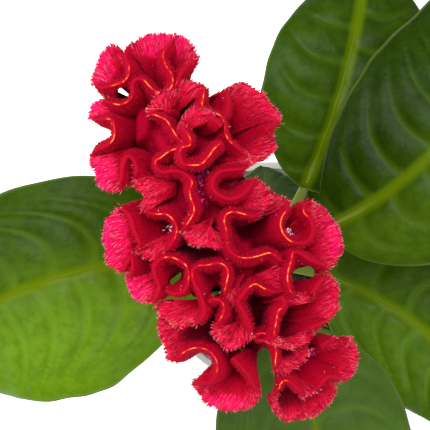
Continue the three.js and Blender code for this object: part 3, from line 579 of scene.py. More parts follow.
class Tone:
    """One output socket of a finish; sums, products and the like add their Math nodes."""

    def __init__(self, finish, socket):
        self.finish = finish
        self.socket = socket

    def math(self, operation, *terms):
        return self.finish.node("ShaderNodeMath", {"operation": operation}, dict(enumerate(terms)))

    def __add__(self, other):
        return self.math("ADD", self, other)

    def __radd__(self, other):
        return self.math("ADD", other, self)

    def __sub__(self, other):
        return self.math("SUBTRACT", self, other)

    def __rsub__(self, other):
        return self.math("SUBTRACT", other, self)

    def __mul__(self, other):
        return self.math("MULTIPLY", self, other)

    def __rmul__(self, other):
        return self.math("MULTIPLY", other, self)

    def __abs__(self):
        return self.math("ABSOLUTE", self)

    def fraction(self):
        return self.math("FRACT", self)

    def over(self, limit):
        return self.math("GREATER_THAN", self, limit)

    def between(self, low, high):
        """0 below low, 1 above high, with a smooth step between them."""
        limits = {0: self, 1: low, 2: high, 3: 0, 4: 1}
        return self.finish.node("ShaderNodeMapRange", {"interpolation_type": "SMOOTHSTEP"}, limits)


class Finish:
    """A node material with one Principled surface."""

    def __init__(self, name):
        self.material = bpy.data.materials.new(name)
        self.material.use_nodes = True
        self.tree = self.material.node_tree
        self.principled = self.tree.nodes["Principled BSDF"]

    def node(self, kind, settings=None, sockets=None, output=0):
        made = self.tree.nodes.new(kind)
        for setting, value in (settings or {}).items():
            if setting == "stops":
                self.set_stops(made.color_ramp, value)
            else:
                setattr(made, setting, value)
        for socket, value in (sockets or {}).items():
            self.feed(made.inputs[socket], value)
        return Tone(self, made.outputs[output])

    def set_stops(self, ramp, stops):
        while len(ramp.elements) < len(stops):
            ramp.elements.new(1)
        for element, (position, colour) in zip(ramp.elements, stops):
            element.position = position
            element.color = (*colour, 1)

    def feed(self, socket, value):
        if isinstance(value, Tone):
            self.tree.links.new(value.socket, socket)
        elif isinstance(value, tuple) and len(value) == 3 and socket.type == "RGBA":
            socket.default_value = (*value, 1)
        else:
            socket.default_value = value

    def field(self, name):
        return self.node("ShaderNodeAttribute", {"attribute_name": name}, output="Fac")

    def place(self):
        return self.node("ShaderNodeTexCoord", output="Object")

    def noise(self, wavelength, detail=2, roughness=0.5, place=None):
        """Noise between 0 and 1 whose blotches are about the wavelength, in millimetres."""
        sockets = {"Vector": place or self.place(), "Scale": 1 / (wavelength * MM), "Detail": detail,
                   "Roughness": roughness}
        return self.node("ShaderNodeTexNoise", {}, sockets, output="Fac")

    def mix(self, share, first, second):
        return self.node("ShaderNodeMix", {"data_type": "RGBA"}, {0: share, 6: first, 7: second}, output=2)

    def bump(self, height, depth, strength=1.0):
        """A normal from a height between 0 and 1 that stands for the depth in millimetres."""
        sockets = {"Height": height, "Distance": depth * MM, "Strength": strength}
        return self.node("ShaderNodeBump", {}, sockets)

    def surface(self, **sockets):
        for socket, value in sockets.items():
            self.feed(self.principled.inputs[socket.replace("_", " ")], value)
        return self.material


def srgb(red, green, blue):
    """A linear colour from the 0 to 255 values that a screen shows."""
    shown = np.array([red, green, blue]) / 255
    linear = np.where(shown <= 0.04045, shown / 12.92, ((shown + 0.055) / 1.055) ** 2.4)
    return tuple(float(value) for value in linear)


def place_piece(piece, material, slot, *nodes):
    """Gives a finished piece its material and body, and hides the solids that it stands for; the slot is not
    used.
    """
    piece.data.materials.clear()
    piece.data.materials.append(material)
    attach(piece, "root")
    if nodes:
        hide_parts(*nodes)
    return piece


# Comb

def plan_point(columns, rows, heights):
    scale = (EYE[2] - heights) / EYE_STEPS
    return np.stack([EYE[0] + (columns - PLAN_MIDDLE) * scale, EYE[1] + (PLAN_MIDDLE - rows) * scale,
                     heights + 0 * scale], axis=-1)


def plan_pixels(points):
    """Column and row of points, as the eye sees them."""
    scale = (EYE[2] - points[..., 2]) / EYE_STEPS
    return np.stack([PLAN_MIDDLE + (points[..., 0] - EYE[0]) / scale,
                     PLAN_MIDDLE - (points[..., 1] - EYE[1]) / scale], axis=-1)


spine_start = plan_point(*np.array(SPINE_START, float), ROOT_HEIGHT)
spine_end = plan_point(*np.array(SPINE_END, float), ROOT_HEIGHT)
spine_middle = (spine_start + spine_end) / 2
spine_along = unit(spine_end - spine_start)
spine_across = np.cross(UP, spine_along)
body_middle = spine_middle + BODY_SHIFT * spine_along


def comb_height(points, rim, lift):
    offset = points - spine_middle
    along = offset @ spine_along / COMB_HALF_LENGTH
    across = offset @ spine_across / COMB_HALF_WIDTH
    return COMB_TOP + lift - END_DROP * along ** 2 - SIDE_DROP * across ** 2 - RIM_DROP * rim


def ridge_line(lift, marks):
    """Even steps along a ridge, with the share of curl and the way travelled at each."""
    marks = np.array(marks, float) * (1, 1, RIM_WEIGHT)
    curve = catmull_rom(marks, RIDGE_CURVE_STEPS)
    pixels = travelled(curve[:, :2])
    length = pixels[-1] * (EYE[2] - COMB_TOP) / EYE_STEPS
    steps = max(LEAST_STEPS, round(length / RIBBON_STEP))
    curve = resample(curve, pixels, np.linspace(0, pixels[-1], steps + 1))
    rim = np.clip(curve[:, 2] / RIM_WEIGHT, 0, 1)
    rough = plan_point(curve[:, 0], curve[:, 1], np.full(steps + 1, COMB_TOP))
    ridge = plan_point(curve[:, 0], curve[:, 1], comb_height(rough, rim, lift))
    return ridge, rim, np.linspace(0, length, steps + 1)


def root_line(ridge, way):
    """The ribbon's foot: the ridge's route, smoothed and drawn towards the spine."""
    weights = np.exp(-0.5 * ((way[:, None] - way[None, :]) / ROOT_SMOOTHING) ** 2)
    middle = weights @ ridge / weights.sum(axis=1, keepdims=True)
    most = COMB_HALF_LENGTH - ROOT_MARGIN
    reach = np.clip((middle - spine_middle) @ spine_along, -most, most)
    root = lerp(middle, spine_middle + reach[:, None] * spine_along, ROOT_PULL)
    root[:, 2] = ROOT_HEIGHT - ROOT_END_DROP * (reach / COMB_HALF_LENGTH) ** 2
    return root


def bend_limits(ahead, way):
    """How thick a ribbon may be on its left and its right before it would cross itself in a bend."""
    heading = np.unwrap(np.arctan2(ahead[:, 1], ahead[:, 0]))
    weights = np.exp(-0.5 * ((way[:, None] - way[None, :]) / BEND_SMOOTHING) ** 2)
    bend = weights @ np.gradient(heading, way) / weights.sum(axis=1)
    return [BEND_FILL / np.maximum(sign * bend, LEAST_BEND) for sign in (1, -1)]


def held(half, limit):
    """The half thickness, eased off where it comes near its limit."""
    return (half ** -3 + np.maximum(limit, LEAST_LIMIT)[:, None] ** -3) ** (-1 / 3)


def flame_share(pixels):
    """1 on the routes of the flame line and 0 away from them."""
    nearest = np.full(len(pixels), 1e9)
    for route in FLAMES:
        route = np.array(route, float)
        for start, end in zip(route[:-1], route[1:]):
            along = end - start
            share = np.clip((pixels - start) @ along / (along @ along), 0, 1)
            nearest = np.minimum(nearest, np.linalg.norm(pixels - start - share[:, None] * along, axis=1))
    return smooth((6.5 - nearest) / 3)


def spot_share(points, spots):
    """1 well inside the oval spots, as the eye sees them, and 0 away from them."""
    pixels = plan_pixels(points)
    share = np.zeros(pixels.shape[:-1])
    for middle, half_sizes in spots:
        apart = np.linalg.norm((pixels - middle) / half_sizes, axis=-1)
        share = np.maximum(share, smooth((1.25 - apart) / 0.55))
    return share


def hollow_share(points, depth, rim=0, rise=0):
    """How deep in the hollows the points lie, which are darkened with painted shade; the crests and the edges
    of the rims stay out of them.
    """
    sunk = depth + 3 * rim * smooth((0.92 - rise) / 0.12)
    return spot_share(points, HOLLOWS) * smooth((sunk - 0.6) / 3)


def frilled(ridge, rim, tip, seed):
    """The ridge with its frills, which are strongest on the curled rims."""
    frill = rim * ripple(ridge, 6.5, seed) + 0.3 * ripple(ridge, 9, seed + 1)
    heave = rim * ripple(ridge, 8, seed + 2)
    return ridge + tip * 0.55 * frill[:, None] + UP * 0.7 * heave[:, None]


def ribbon_sheet(root, ridge, tip, side, reach_share, seed):
    """The middle of the ribbon from its foot to its ridge, with its upward and its sideways directions."""
    reach = np.linalg.norm(ridge - root, axis=1)[:, None]
    rise_point = root + UP * 0.55 * (ridge - root)[:, 2:]
    approach = ridge - tip * reach_share * reach
    t = RISE_SHARES[None, :, None]
    foot, low, high, top = (a[:, None, :] for a in (root, rise_point, approach, ridge))
    centre = (1 - t) ** 3 * foot + 3 * (1 - t) ** 2 * t * low + 3 * (1 - t) * t ** 2 * high + t ** 3 * top
    slope = unit(3 * (1 - t) ** 2 * (low - foot) + 6 * (1 - t) * t * (high - low) + 3 * t ** 2 * (top - high))
    aside = np.broadcast_to(side[:, None, :], centre.shape)
    normal = unit(aside - (aside * slope).sum(axis=2, keepdims=True) * slope)
    sway = 0.5 * ripple(centre, 13, seed + 3) * np.sin(math.pi * RISE_SHARES)
    return centre + normal * sway[:, :, None], slope, normal


def ribbon_halves(ridge, rim, way, ahead, seed):
    """The ribbon's plain half thickness, and the pleated ones of its left and its right flank."""
    upright_half, rim_half = (
        np.interp(RISE_SHARES, RISE_MARKS, halves) for halves in (UPRIGHT_HALF, RIM_HALF)
    )
    half = lerp(upright_half[None, :], rim_half[None, :], rim[:, None])
    wander = 2.2 * ripple(ridge, 7, seed + 4)
    pleat = np.sin(2 * math.pi * way / PLEAT + wander)[:, None] * smooth(RISE_SHARES / 0.6)[None, :]
    pleat = pleat * lerp(0.1, 0.2, rim)[:, None]
    left_limit, right_limit = bend_limits(ahead, way)
    return half, held(half, left_limit) + pleat, held(half, right_limit) - pleat


def flame_line(ridge, rim, seed):
    """How strongly the flame line shows along a ridge; it is broken into dabs and fades on the rims."""
    line = flame_share(plan_pixels(ridge)) * (1 - smooth(1.6 * rim))
    return line * lerp(0.42, 1, smooth(0.75 + 1.6 * ripple(ridge, 1.8, seed + 6)))


def ribbon_crest(ridge_top, normal, tip, half, crest_rise, line):
    """The round skin over the ridge, from flank to flank; the flame line stands a little proud on it."""
    turn = math.pi / 2 + CREST_TURNS
    return (ridge_top - normal * half[:, None, None] * np.cos(turn)[None, :, None]
            + tip[:, None, :] * (crest_rise * np.sin(turn)[None, :, None]
                                 + 0.06 * line[:, None, None] * ON_TOP[None, :, None]))


def ribbon_flank(points, normal, slope, ahead, ridge, rim, way):
    """One flank as a grid that bristles grow on."""
    size = points.shape[:2] + (1,)
    return {
        "point": points, "normal": normal, "upward": slope,
        "ahead": np.broadcast_to(ahead[:, None, :], points.shape),
        "rise": np.broadcast_to(RISE_SHARES[None, :, None], size),
        "rim": np.broadcast_to(rim[:, None, None], size),
        "way": np.broadcast_to(way[:, None, None], size),
        "depth": (ridge[:, None, 2] - points[:, :, 2])[:, :, None],
    }


def ribbon(lift, marks, reach_share, seed):
    """One ribbon: rings of its skin with their fields, its two flanks and its edge."""
    ridge, rim, way = ridge_line(lift, marks)
    root = root_line(ridge, way)
    ahead = unit(np.gradient(ridge, axis=0) * (1, 1, 0))
    outward = unit((ridge - root) * (1, 1, 0))
    lean = np.radians(lerp(UPRIGHT_LEAN, RIM_LEAN, smooth(rim)))[:, None]
    tip = UP * np.cos(lean) + outward * np.sin(lean)
    ridge = frilled(ridge, rim, tip, seed)
    centre, slope, normal = ribbon_sheet(root, ridge, tip, np.cross(ahead, UP), reach_share, seed)
    half, left_half, right_half = ribbon_halves(ridge, rim, way, ahead, seed)
    below = smooth((1 - RISE_SHARES) / 0.08)[None, :, None]
    centre = lerp(centre, clear_windows(centre, ridge), below)
    left = centre - normal * left_half[:, :, None]
    right = centre + normal * right_half[:, :, None]
    left, right = (lerp(skin, clear_windows(skin, ridge), below) for skin in (left, right))

    line = flame_line(ridge, rim, seed)
    crest_rise = lerp(LIP_CREST, RIM_CREST, rim)[:, None, None]
    crest = ribbon_crest(centre[:, -1:, :], normal[:, -1:, :], tip, half[:, -1], crest_rise, line)
    rings = np.concatenate([left, crest, right[:, ::-1]], axis=1)
    size = rings.shape[:2]
    depth = ridge[:, None, 2] - rings[:, :, 2]
    rise = np.broadcast_to(np.concatenate([RISE_SHARES, np.ones(len(CREST_TURNS)), RISE_SHARES[::-1]]), size)
    blank = np.zeros((len(ridge), len(RISE_SHARES)))
    # Two of these fields mark painted colour: the shade of the deep hollows and the sheen of the lobes.
    fields = {
        "depth": depth,
        "hollow": hollow_share(rings, depth, rim[:, None], rise),
        "glow": spot_share(rings, PAINTED_SHEEN_SPOTS),
        "rise": rise,
        "rim": np.broadcast_to(rim[:, None], size),
        "way": np.broadcast_to(way[:, None], size),
        "line": np.concatenate([blank, line[:, None] * ON_TOP, blank], axis=1),
    }
    flanks = [
        ribbon_flank(points, normal * sign, slope, ahead, ridge, rim, way)
        for points, sign in ((left, -1), (right, 1))
    ]
    edge = {"point": centre[:, -1] + tip * crest_rise[:, 0] * 0.5, "tip": tip, "rim": rim, "way": way,
            "ahead": ahead, "normal": normal[:, -1]}
    return rings, fields, flanks, edge


def clear_windows(points, carrier):
    """Moves what stands in a window, as the eye sees it, or behind it, out to the side of its carrier.

    Each row of points has its own carrier, so a ribbon that winds round a window stays open there.
    """
    moved = points.copy()
    scale = (EYE[2] - points[..., 2]) / EYE_STEPS
    carried = plan_pixels(carrier)
    for middle, half_sizes, turn in WINDOWS:
        cosine, sine = math.cos(math.radians(turn)), math.sin(math.radians(turn))
        axes = np.array([[cosine, -sine], [sine, cosine]])
        way_out = unit((carried - middle) @ axes / half_sizes)[:, None, :]
        place = (plan_pixels(moved) - middle) @ axes / half_sizes
        along = (place * way_out).sum(axis=-1)
        aside = place[..., 0] * way_out[..., 1] - place[..., 1] * way_out[..., 0]
        border = np.sqrt(np.maximum(1 - aside ** 2, 0))
        step = np.where(np.abs(aside) < 1, np.maximum(border - along, 0), 0)
        shift = (step[..., None] * way_out * half_sizes) @ axes.T
        moved[..., 0] += shift[..., 0] * scale
        moved[..., 1] -= shift[..., 1] * scale
    return moved


def body_height(points, ridges):
    """Height of the comb's body over plan places: sloped flanks below the upright ridges."""
    nearest = np.full(len(points), 1e9)
    for block in np.array_split(ridges, 12):
        apart = np.linalg.norm(points[:, None, :2] - block[None, :, :2], axis=2)
        nearest = np.minimum(nearest, apart.min(axis=1))
    top = comb_height(points, 0, BODY_LIFT)
    drop = VALLEY_DEPTH * (1 - np.exp(-np.maximum(0, nearest - RIDGE_HALF) / VALLEY_WIDTH))
    shallow = spot_share(points * (1, 1, 0) + SPOT_HEIGHT * UP, SHALLOWS)
    flank = top - BODY_SINK - drop * (1 - SHALLOW_LIFT * shallow)
    flank = flank - HOLLOW_DEPTH * hollow_share(points, top - flank)
    offset = points - body_middle
    edge = np.hypot(offset @ spine_along / BODY_HALF_LENGTH, offset @ spine_across / BODY_HALF_WIDTH)
    dome = lerp(BODY_EDGE - BODY_END_DROP * edge ** 2, top - DOME_SINK, smooth((1 - edge) / 0.42))
    dome = lerp(dome, top - SHALLOW_SINK, shallow * smooth((1 - edge) / 0.1))
    return np.minimum(flank, dome)


def body_rings(ridges):
    """The comb's body, from the stem's fan up its sides and in over its folded top."""
    shares = np.linspace(0, 1, BODY_SIDE_RINGS)
    along = np.interp(shares, BODY_MARKS, BODY_ALONG)
    across = np.interp(shares, BODY_MARKS, BODY_ACROSS)
    angles = round_angles(BODY_SIDES)
    base = np.array([*STEM_ROUTE[-1][:2], COMB_BASE])
    centre = lerp(base, body_middle, np.minimum(1, 1.6 * shares)[:, None])
    centre[:, 2] = lerp(COMB_BASE, BODY_EDGE - 1, shares)
    flute = 1 + 0.05 * smooth((shares - 0.15) / 0.15)[:, None] * np.cos(BODY_FLUTES * angles)[None, :]
    sides = (centre[:, None, :]
             + spine_along * (along[:, None] * np.cos(angles))[:, :, None]
             + spine_across * (across[:, None] * flute * np.sin(angles))[:, :, None])
    sunk = smooth((shares - 0.1) / 0.3)[:, None]
    sides[:, :, 2] -= BODY_END_DROP * shares[:, None] * np.cos(angles) ** 2 * sunk
    inward = np.linspace(0.985, 0.02, BODY_TOP_RINGS)[:, None, None]
    top = (body_middle + spine_along * (BODY_HALF_LENGTH * inward * np.cos(angles)[None, :, None])
           + spine_across * (BODY_HALF_WIDTH * inward * np.sin(angles)[None, :, None]))
    top[:, :, 2] = body_height(top.reshape(-1, 3), ridges).reshape(top.shape[:2])
    rings = np.concatenate([sides, top])
    hold = np.clip(BODY_HALF_LENGTH * np.cos(angles), -WINDOW_REACH, WINDOW_REACH)[:, None] * spine_along
    opened = clear_windows(rings.transpose(1, 0, 2), body_middle + hold)
    return opened.transpose(1, 0, 2)


def scatter(grid, density, weigh, rng):
    """Seeded places on a grid of points, in proportion to area and weight, with the grid's fields."""
    point = grid["point"]
    across = point[1:, :-1] - point[:-1, :-1]
    along = point[:-1, 1:] - point[:-1, :-1]
    area = np.linalg.norm(np.cross(across, along), axis=2)
    weight = area * weigh(grid["rise"][:-1, :-1, 0], grid["rim"][:-1, :-1, 0])
    count = int(weight.sum() * density)
    total = np.cumsum(weight.ravel())
    picks = np.searchsorted(total, rng.uniform(0, total[-1], count))
    row, column = np.unravel_index(picks, weight.shape)
    u, v = rng.uniform(size=(2, count, 1))
    found = {}
    for field, values in grid.items():
        low = lerp(values[row, column], values[row + 1, column], u)
        high = lerp(values[row, column + 1], values[row + 1, column + 1], u)
        found[field] = lerp(low, high, v)
    return found


def body_flank(rings):
    """The upper side of the comb's body as a grid that bristles grow on."""
    point = rings[BODY_SIDE_RINGS:-3]
    normal = unit(np.cross(np.gradient(point, axis=1), np.gradient(point, axis=0)))
    normal = normal * np.where(normal[:, :, 2:] < 0, -1, 1)
    depth = comb_height(point, 0, BODY_LIFT)[:, :, None] - point[:, :, 2:]
    return {
        "point": point, "normal": normal, "upward": unit(UP - normal * normal[:, :, 2:] + 1e-6),
        "ahead": np.cross(UP, normal), "rise": np.clip(1 - depth / FLANK_DEPTH, 0.2, 0.9), "rim": 0 * depth,
        "way": np.linalg.norm(np.diff(point, axis=1, append=point[:, :1]), axis=2).cumsum(axis=1)[:, :, None],
        "depth": depth,
    }


def velvet_weight(rise, rim):
    return (0.12 + 0.88 * smooth((rise - 0.3) / 0.4)) * (1 + 0.5 * rim * smooth((rise - 0.5) / 0.4))


def flank_bristles(found, rng):
    """Place, direction, length and half width of the bristles at scattered places."""
    count = len(found["point"])
    rise, rim = found["rise"], found["rim"]
    crown = smooth((rise - 0.86) / 0.14) * (1 - rim)
    stand = np.radians(lerp(*BRISTLE_STAND, rim) + CROWN_STAND * crown + rng.normal(0, 3.5, (count, 1)))
    stray = 0.06 * ripple(found["point"], 3.4, 77)[:, None] + rng.normal(0, 0.03, (count, 1))
    direction = unit(
        found["upward"] * np.cos(stand) + found["normal"] * np.sin(stand) + found["ahead"] * stray)
    size = smooth((rise - 0.35) / 0.5) * smooth((rim - 0.15) / 0.6)
    length = lerp(BRISTLE_LIP[0], BRISTLE_RIM[0], size) * rng.uniform(0.7, 1.25, (count, 1))
    width = lerp(BRISTLE_LIP[1], BRISTLE_RIM[1], size) * rng.uniform(0.8, 1.15, (count, 1))
    place = found["point"] - direction * 0.2 * length
    return place, direction, length, width, rise, rim, found["way"], found["depth"]


def fringe_bristles(edge, rng):
    """The ragged fringe along a ribbon's curled rims, in small tufts."""
    way, rim = edge["way"], edge["rim"]
    spots = rng.uniform(0, way[-1], int(way[-1] * FRINGE_PER_MM))
    curled = np.interp(spots, way, rim)
    spots = spots[curled > rng.uniform(0.15, 0.6, len(spots))]
    tuft = np.round(spots / TUFT_SPACING) * TUFT_SPACING
    spots = lerp(spots, tuft, 0.35)
    count = len(spots)

    def at(field):
        return resample(edge[field], way, spots)

    bias = np.sin(tuft * 12.9)[:, None] * 0.2 + rng.normal(0, 0.12, (count, 1))
    spread = rng.normal(0, 0.22, (count, 1))
    direction = unit(at("tip") + at("ahead") * bias + at("normal") * spread)
    length = (1.25 + 0.35 * np.sin(tuft * 7.7)[:, None]) * rng.uniform(0.75, 1.2, (count, 1))
    width = 0.22 * rng.uniform(0.85, 1.2, (count, 1))
    place = at("point") + at("normal") * rng.uniform(-0.7, 0.7, (count, 1))
    ones = np.ones((count, 1))
    curl = np.interp(spots, way, rim)[:, None]
    return place, direction, length, width, ones, curl, spots[:, None], 0 * ones


def streak_tone(place, way, rise, rng):
    """Tone between 0 and 1 that bristles share along a stroke up the ribbon."""
    stroke = ripple(np.hstack([way, 5 * rise, 0 * way]), 0.9, 78)
    clump = ripple(place, 2.2, 79)
    return np.clip(0.5 + 0.34 * stroke + 0.2 * clump + rng.normal(0, 0.09, len(place)), 0, 1)


def bristle_piece(name, groups, rng):
    """One mesh of bristles, with the share of its length, its tone and its place on the ribbon on each."""
    place, direction, length, width, rise, rim, way, depth = (np.vstack(parts) for parts in zip(*groups))
    first, second = frames_along(direction, rng)
    axes = np.stack([first * width, second * width, direction * length], axis=1)
    shape, _ = BRISTLE
    points, faces = copies(BRISTLE, place, axes)
    repeats = len(shape)
    # Two of these fields mark painted colour: the shade of the deep hollows and the sheen of the lobes.
    fields = {
        "tip": np.tile(shape[:, 2], len(place)),
        "tone": np.repeat(streak_tone(place, way, rise, rng), repeats),
        "speck": np.repeat(rng.uniform(size=len(place)), repeats),
        "rise": np.repeat(rise[:, 0], repeats),
        "rim": np.repeat(rim[:, 0], repeats),
        "depth": np.repeat(depth[:, 0], repeats),
        "hollow": np.repeat(hollow_share(place, depth[:, 0], rim[:, 0], rise[:, 0]), repeats),
        "glow": np.repeat(spot_share(place, PAINTED_SHEEN_SPOTS), repeats),
    }
    piece = make_mesh(name, points, faces, **fields)
    return place_piece(piece, BRISTLE_FINISH, "velvet_comb")


def make_comb():
    """The ribbons and the body in one piece, then the bristles and florets that grow on them."""
    blocks, faces, offset = [], [], 0
    fields = {"depth": [], "hollow": [], "rise": [], "glow": [], "rim": [], "line": [], "way": []}
    surfaces = []
    for seed, (name, (lift, marks)) in enumerate(RIDGES.items()):
        reach_share = SHORT_REACH.get(name, RIM_REACH)
        rings, own_fields, flanks, edge = ribbon(lift, marks, reach_share, 100 * seed + 7)
        faces.append(loft(rings) + offset)
        blocks.append(rings.reshape(-1, 3))
        offset += len(blocks[-1])
        for field in fields:
            fields[field].append(own_fields[field].ravel())
        surfaces.append((name, flanks, edge))
    ridges = np.vstack([edge["point"][edge["rim"] < 0.4] for _, _, edge in surfaces])
    rings = body_rings(ridges)
    faces.append(loft(rings) + offset)
    blocks.append(rings.reshape(-1, 3))
    depth = comb_height(blocks[-1], 0, 0) - blocks[-1][:, 2]
    blank = 0 * depth
    # The body's share of the painted shade in the deep hollows.
    hollow = hollow_share(blocks[-1], depth)
    for field, values in zip(fields, (depth, hollow, 1 - depth / SIDE_DEPTH, blank, blank, blank, blank)):
        fields[field].append(values)
    fields = {field: np.concatenate(values) for field, values in fields.items()}
    piece = make_mesh("comb_ribbons", np.vstack(blocks), np.vstack(faces), **fields)
    place_piece(piece, VELVET_FINISH, "velvet_comb", "comb")

    rng = np.random.default_rng(COMB_SEED)
    make_bristles(surfaces, rings, rng)
    make_florets(surfaces, rings, rng)


def make_bristles(surfaces, body, rng):
    """The velvet in one piece for each part of the comb; the body's upper side goes with the middle."""
    for part, names in BRISTLE_PIECES.items():
        groups = []
        for name, flanks, edge in surfaces:
            if name in names:
                for flank in flanks:
                    found = scatter(flank, BRISTLE_DENSITY, velvet_weight, rng)
                    groups.append(flank_bristles(found, rng))
                groups.append(fringe_bristles(edge, rng))
        if part == "middle":
            found = scatter(body_flank(body), BRISTLE_DENSITY, velvet_weight, rng)
            groups.append(flank_bristles(found, rng))
        bristle_piece("bristles_" + part, groups, rng)


def make_florets(surfaces, body, rng):
    """Small pointed florets in patches on the ribbons' flanks and all over the body's sides."""
    places, directions, pale = [], [], []
    grids = [flank for _, flanks, _ in surfaces for flank in flanks]
    floor = body_flank(body)
    points = [grid["point"][:, 3:11] for grid in grids] + [floor["point"]] * FLOOR_WEIGHT
    normals = [grid["normal"][:, 3:11] for grid in grids] + [floor["normal"]] * FLOOR_WEIGHT
    points, normals = (np.vstack([block.reshape(-1, 3) for block in blocks]) for blocks in (points, normals))
    pixels = plan_pixels(points)
    for middle, radius, count, paleness in FLORET_PATCHES:
        near = np.flatnonzero(np.linalg.norm(pixels - middle, axis=1) < radius)
        picks = rng.choice(near, count)
        places.append(points[picks] + rng.normal(0, 0.3, (count, 3)))
        directions.append(unit(normals[picks] + 0.8 * UP + rng.normal(0, 0.35, (count, 3))))
        pale.append(np.full(count, paleness))
    rows = rng.uniform(1, BODY_SIDE_RINGS - 2, SIDE_FLORETS)
    low, columns = rows.astype(int), rng.integers(0, body.shape[1], SIDE_FLORETS)
    places.append(lerp(body[low, columns], body[low + 1, columns], (rows - low)[:, None]))
    outward = unit((places[-1] - spine_middle) * (1, 1, 0))
    directions.append(unit(outward + 0.5 * UP + rng.normal(0, 0.3, (SIDE_FLORETS, 3))))
    pale.append(np.full(SIDE_FLORETS, SIDE_PALENESS))
    place, direction, pale = np.vstack(places), np.vstack(directions), np.concatenate(pale)
    count = len(place)
    first, second = frames_along(direction, rng)
    length = rng.uniform(1.1, 2.0, (count, 1))
    width = rng.uniform(0.28, 0.46, (count, 1))
    axes = np.stack([first * width, second * width, direction * length], axis=1)
    points, faces = copies(FLORET, place - direction * 0.5, axes)
    repeats = len(FLORET[0])
    piece = make_mesh(
        "florets", points, faces, tip=np.tile(FLORET[0][:, 2], count), pale=np.repeat(pale, repeats),
        tone=np.repeat(rng.uniform(size=count), repeats))
    place_piece(piece, FLORET_FINISH, "velvet_comb")


# Stem

def fan_share(share):
    return smooth((share - FAN_START) / (1 - FAN_START)) ** 1.4


def stem_point(share):
    curve = catmull_rom(STEM_ROUTE, STEM_CURVE_STEPS)
    way = travelled(curve)
    return resample(curve, way, np.atleast_1d(share) * way[-1])


def make_stem():
    shares = np.linspace(0, 1, STEM_RINGS)
    centre = stem_point(shares)
    fan = fan_share(shares)
    along = lerp(STEM_RADIUS, FAN_HALF_LENGTH, fan)
    across = lerp(STEM_RADIUS, FAN_HALF_THICKNESS, fan)
    # The last leaf roots in the fan, which has no knots
    knots = sum(np.exp(-(((shares - leaf["at"] + 0.012) / 0.014) ** 2)) for leaf in LEAVES[:-1])
    swell = 1 + 0.07 * knots * (1 - fan)
    angles = round_angles(STEM_SIDES)
    ribs = 0.955 + 0.035 * np.cos(STEM_RIBS * angles) + 0.006 * np.cos(3 * STEM_RIBS * angles)
    rings = (centre[:, None, :]
             + spine_along * ((along * swell)[:, None] * ribs * np.cos(angles))[:, :, None]
             + spine_across * ((across * swell)[:, None] * ribs * np.sin(angles))[:, :, None])
    rings = rings + 0.12 * ripple(rings, 9, 5)[:, :, None] * unit(rings - centre[:, None, :])
    size = rings.shape[:2]
    piece = make_mesh(
        "stem_skin", rings.reshape(-1, 3), loft(rings), height=np.broadcast_to(shares[:, None], size),
        rib=np.broadcast_to(np.cos(STEM_RIBS * angles)[None, :], size))
    place_piece(piece, STEM_FINISH, "green_stem", "stem")


# Leaves

def blade_shape(share):
    return 2.746 * share ** 0.6 * (1 - share) ** 0.9


def leaf_line(leaf):
    """The midrib's line with its frames, at fine even steps from the stem to the tip."""
    heading = math.radians(leaf["heading"])
    heading = np.array([math.cos(heading), math.sin(heading), 0])
    fan = float(fan_share(leaf["at"]))
    along = lerp(STEM_RADIUS, FAN_HALF_LENGTH, fan)
    across = lerp(STEM_RADIUS, FAN_HALF_THICKNESS, fan)
    reach = 1 / math.hypot(heading @ spine_along / along, heading @ spine_across / across)
    start = stem_point(leaf["at"])[0] + heading * (reach + GAP + FAN_CLEARANCE * fan)
    total = leaf["petiole"] + leaf["length"]
    middles = (np.arange(MIDRIB_STEPS) + 0.5) / MIDRIB_STEPS
    turn = np.radians(leaf["heading"] + leaf["turn"] * middles ** leaf.get("late", 1))
    tilt = np.radians(lerp(leaf["rise"], leaf["fall"], smooth(1.1 * middles)))
    direction = np.stack([np.cos(turn) * np.cos(tilt), np.sin(turn) * np.cos(tilt), np.sin(tilt)], axis=1)
    centre = np.vstack([start, start + np.cumsum(direction * total / MIDRIB_STEPS, axis=0)])
    direction = np.vstack([direction, direction[-1]])
    way = np.linspace(0, total, MIDRIB_STEPS + 1)
    share = np.clip((way - leaf["petiole"]) / leaf["length"], 0, 1)
    level = unit(np.cross(UP, direction))
    roll = np.radians(leaf["roll"] * smooth(3 * share))[:, None]
    side = level * np.cos(roll) + np.cross(direction, level) * np.sin(roll)
    return way, centre, direction, side, np.cross(direction, side)


def vein_count(leaf):
    return max(4, round(leaf["length"] / VEIN_SPACING))


def vein_phase(leaf, share, distance):
    """Counts the side veins: whole numbers lie on a vein of the right half, halves on one of the left."""
    reach = np.abs(distance) / leaf["width"]
    sweep = np.where(distance > 0, *VEIN_SWEEP) * reach ** 3 - VEIN_BACK * reach
    return vein_count(leaf) * (share - sweep * leaf["width"] / leaf["length"])


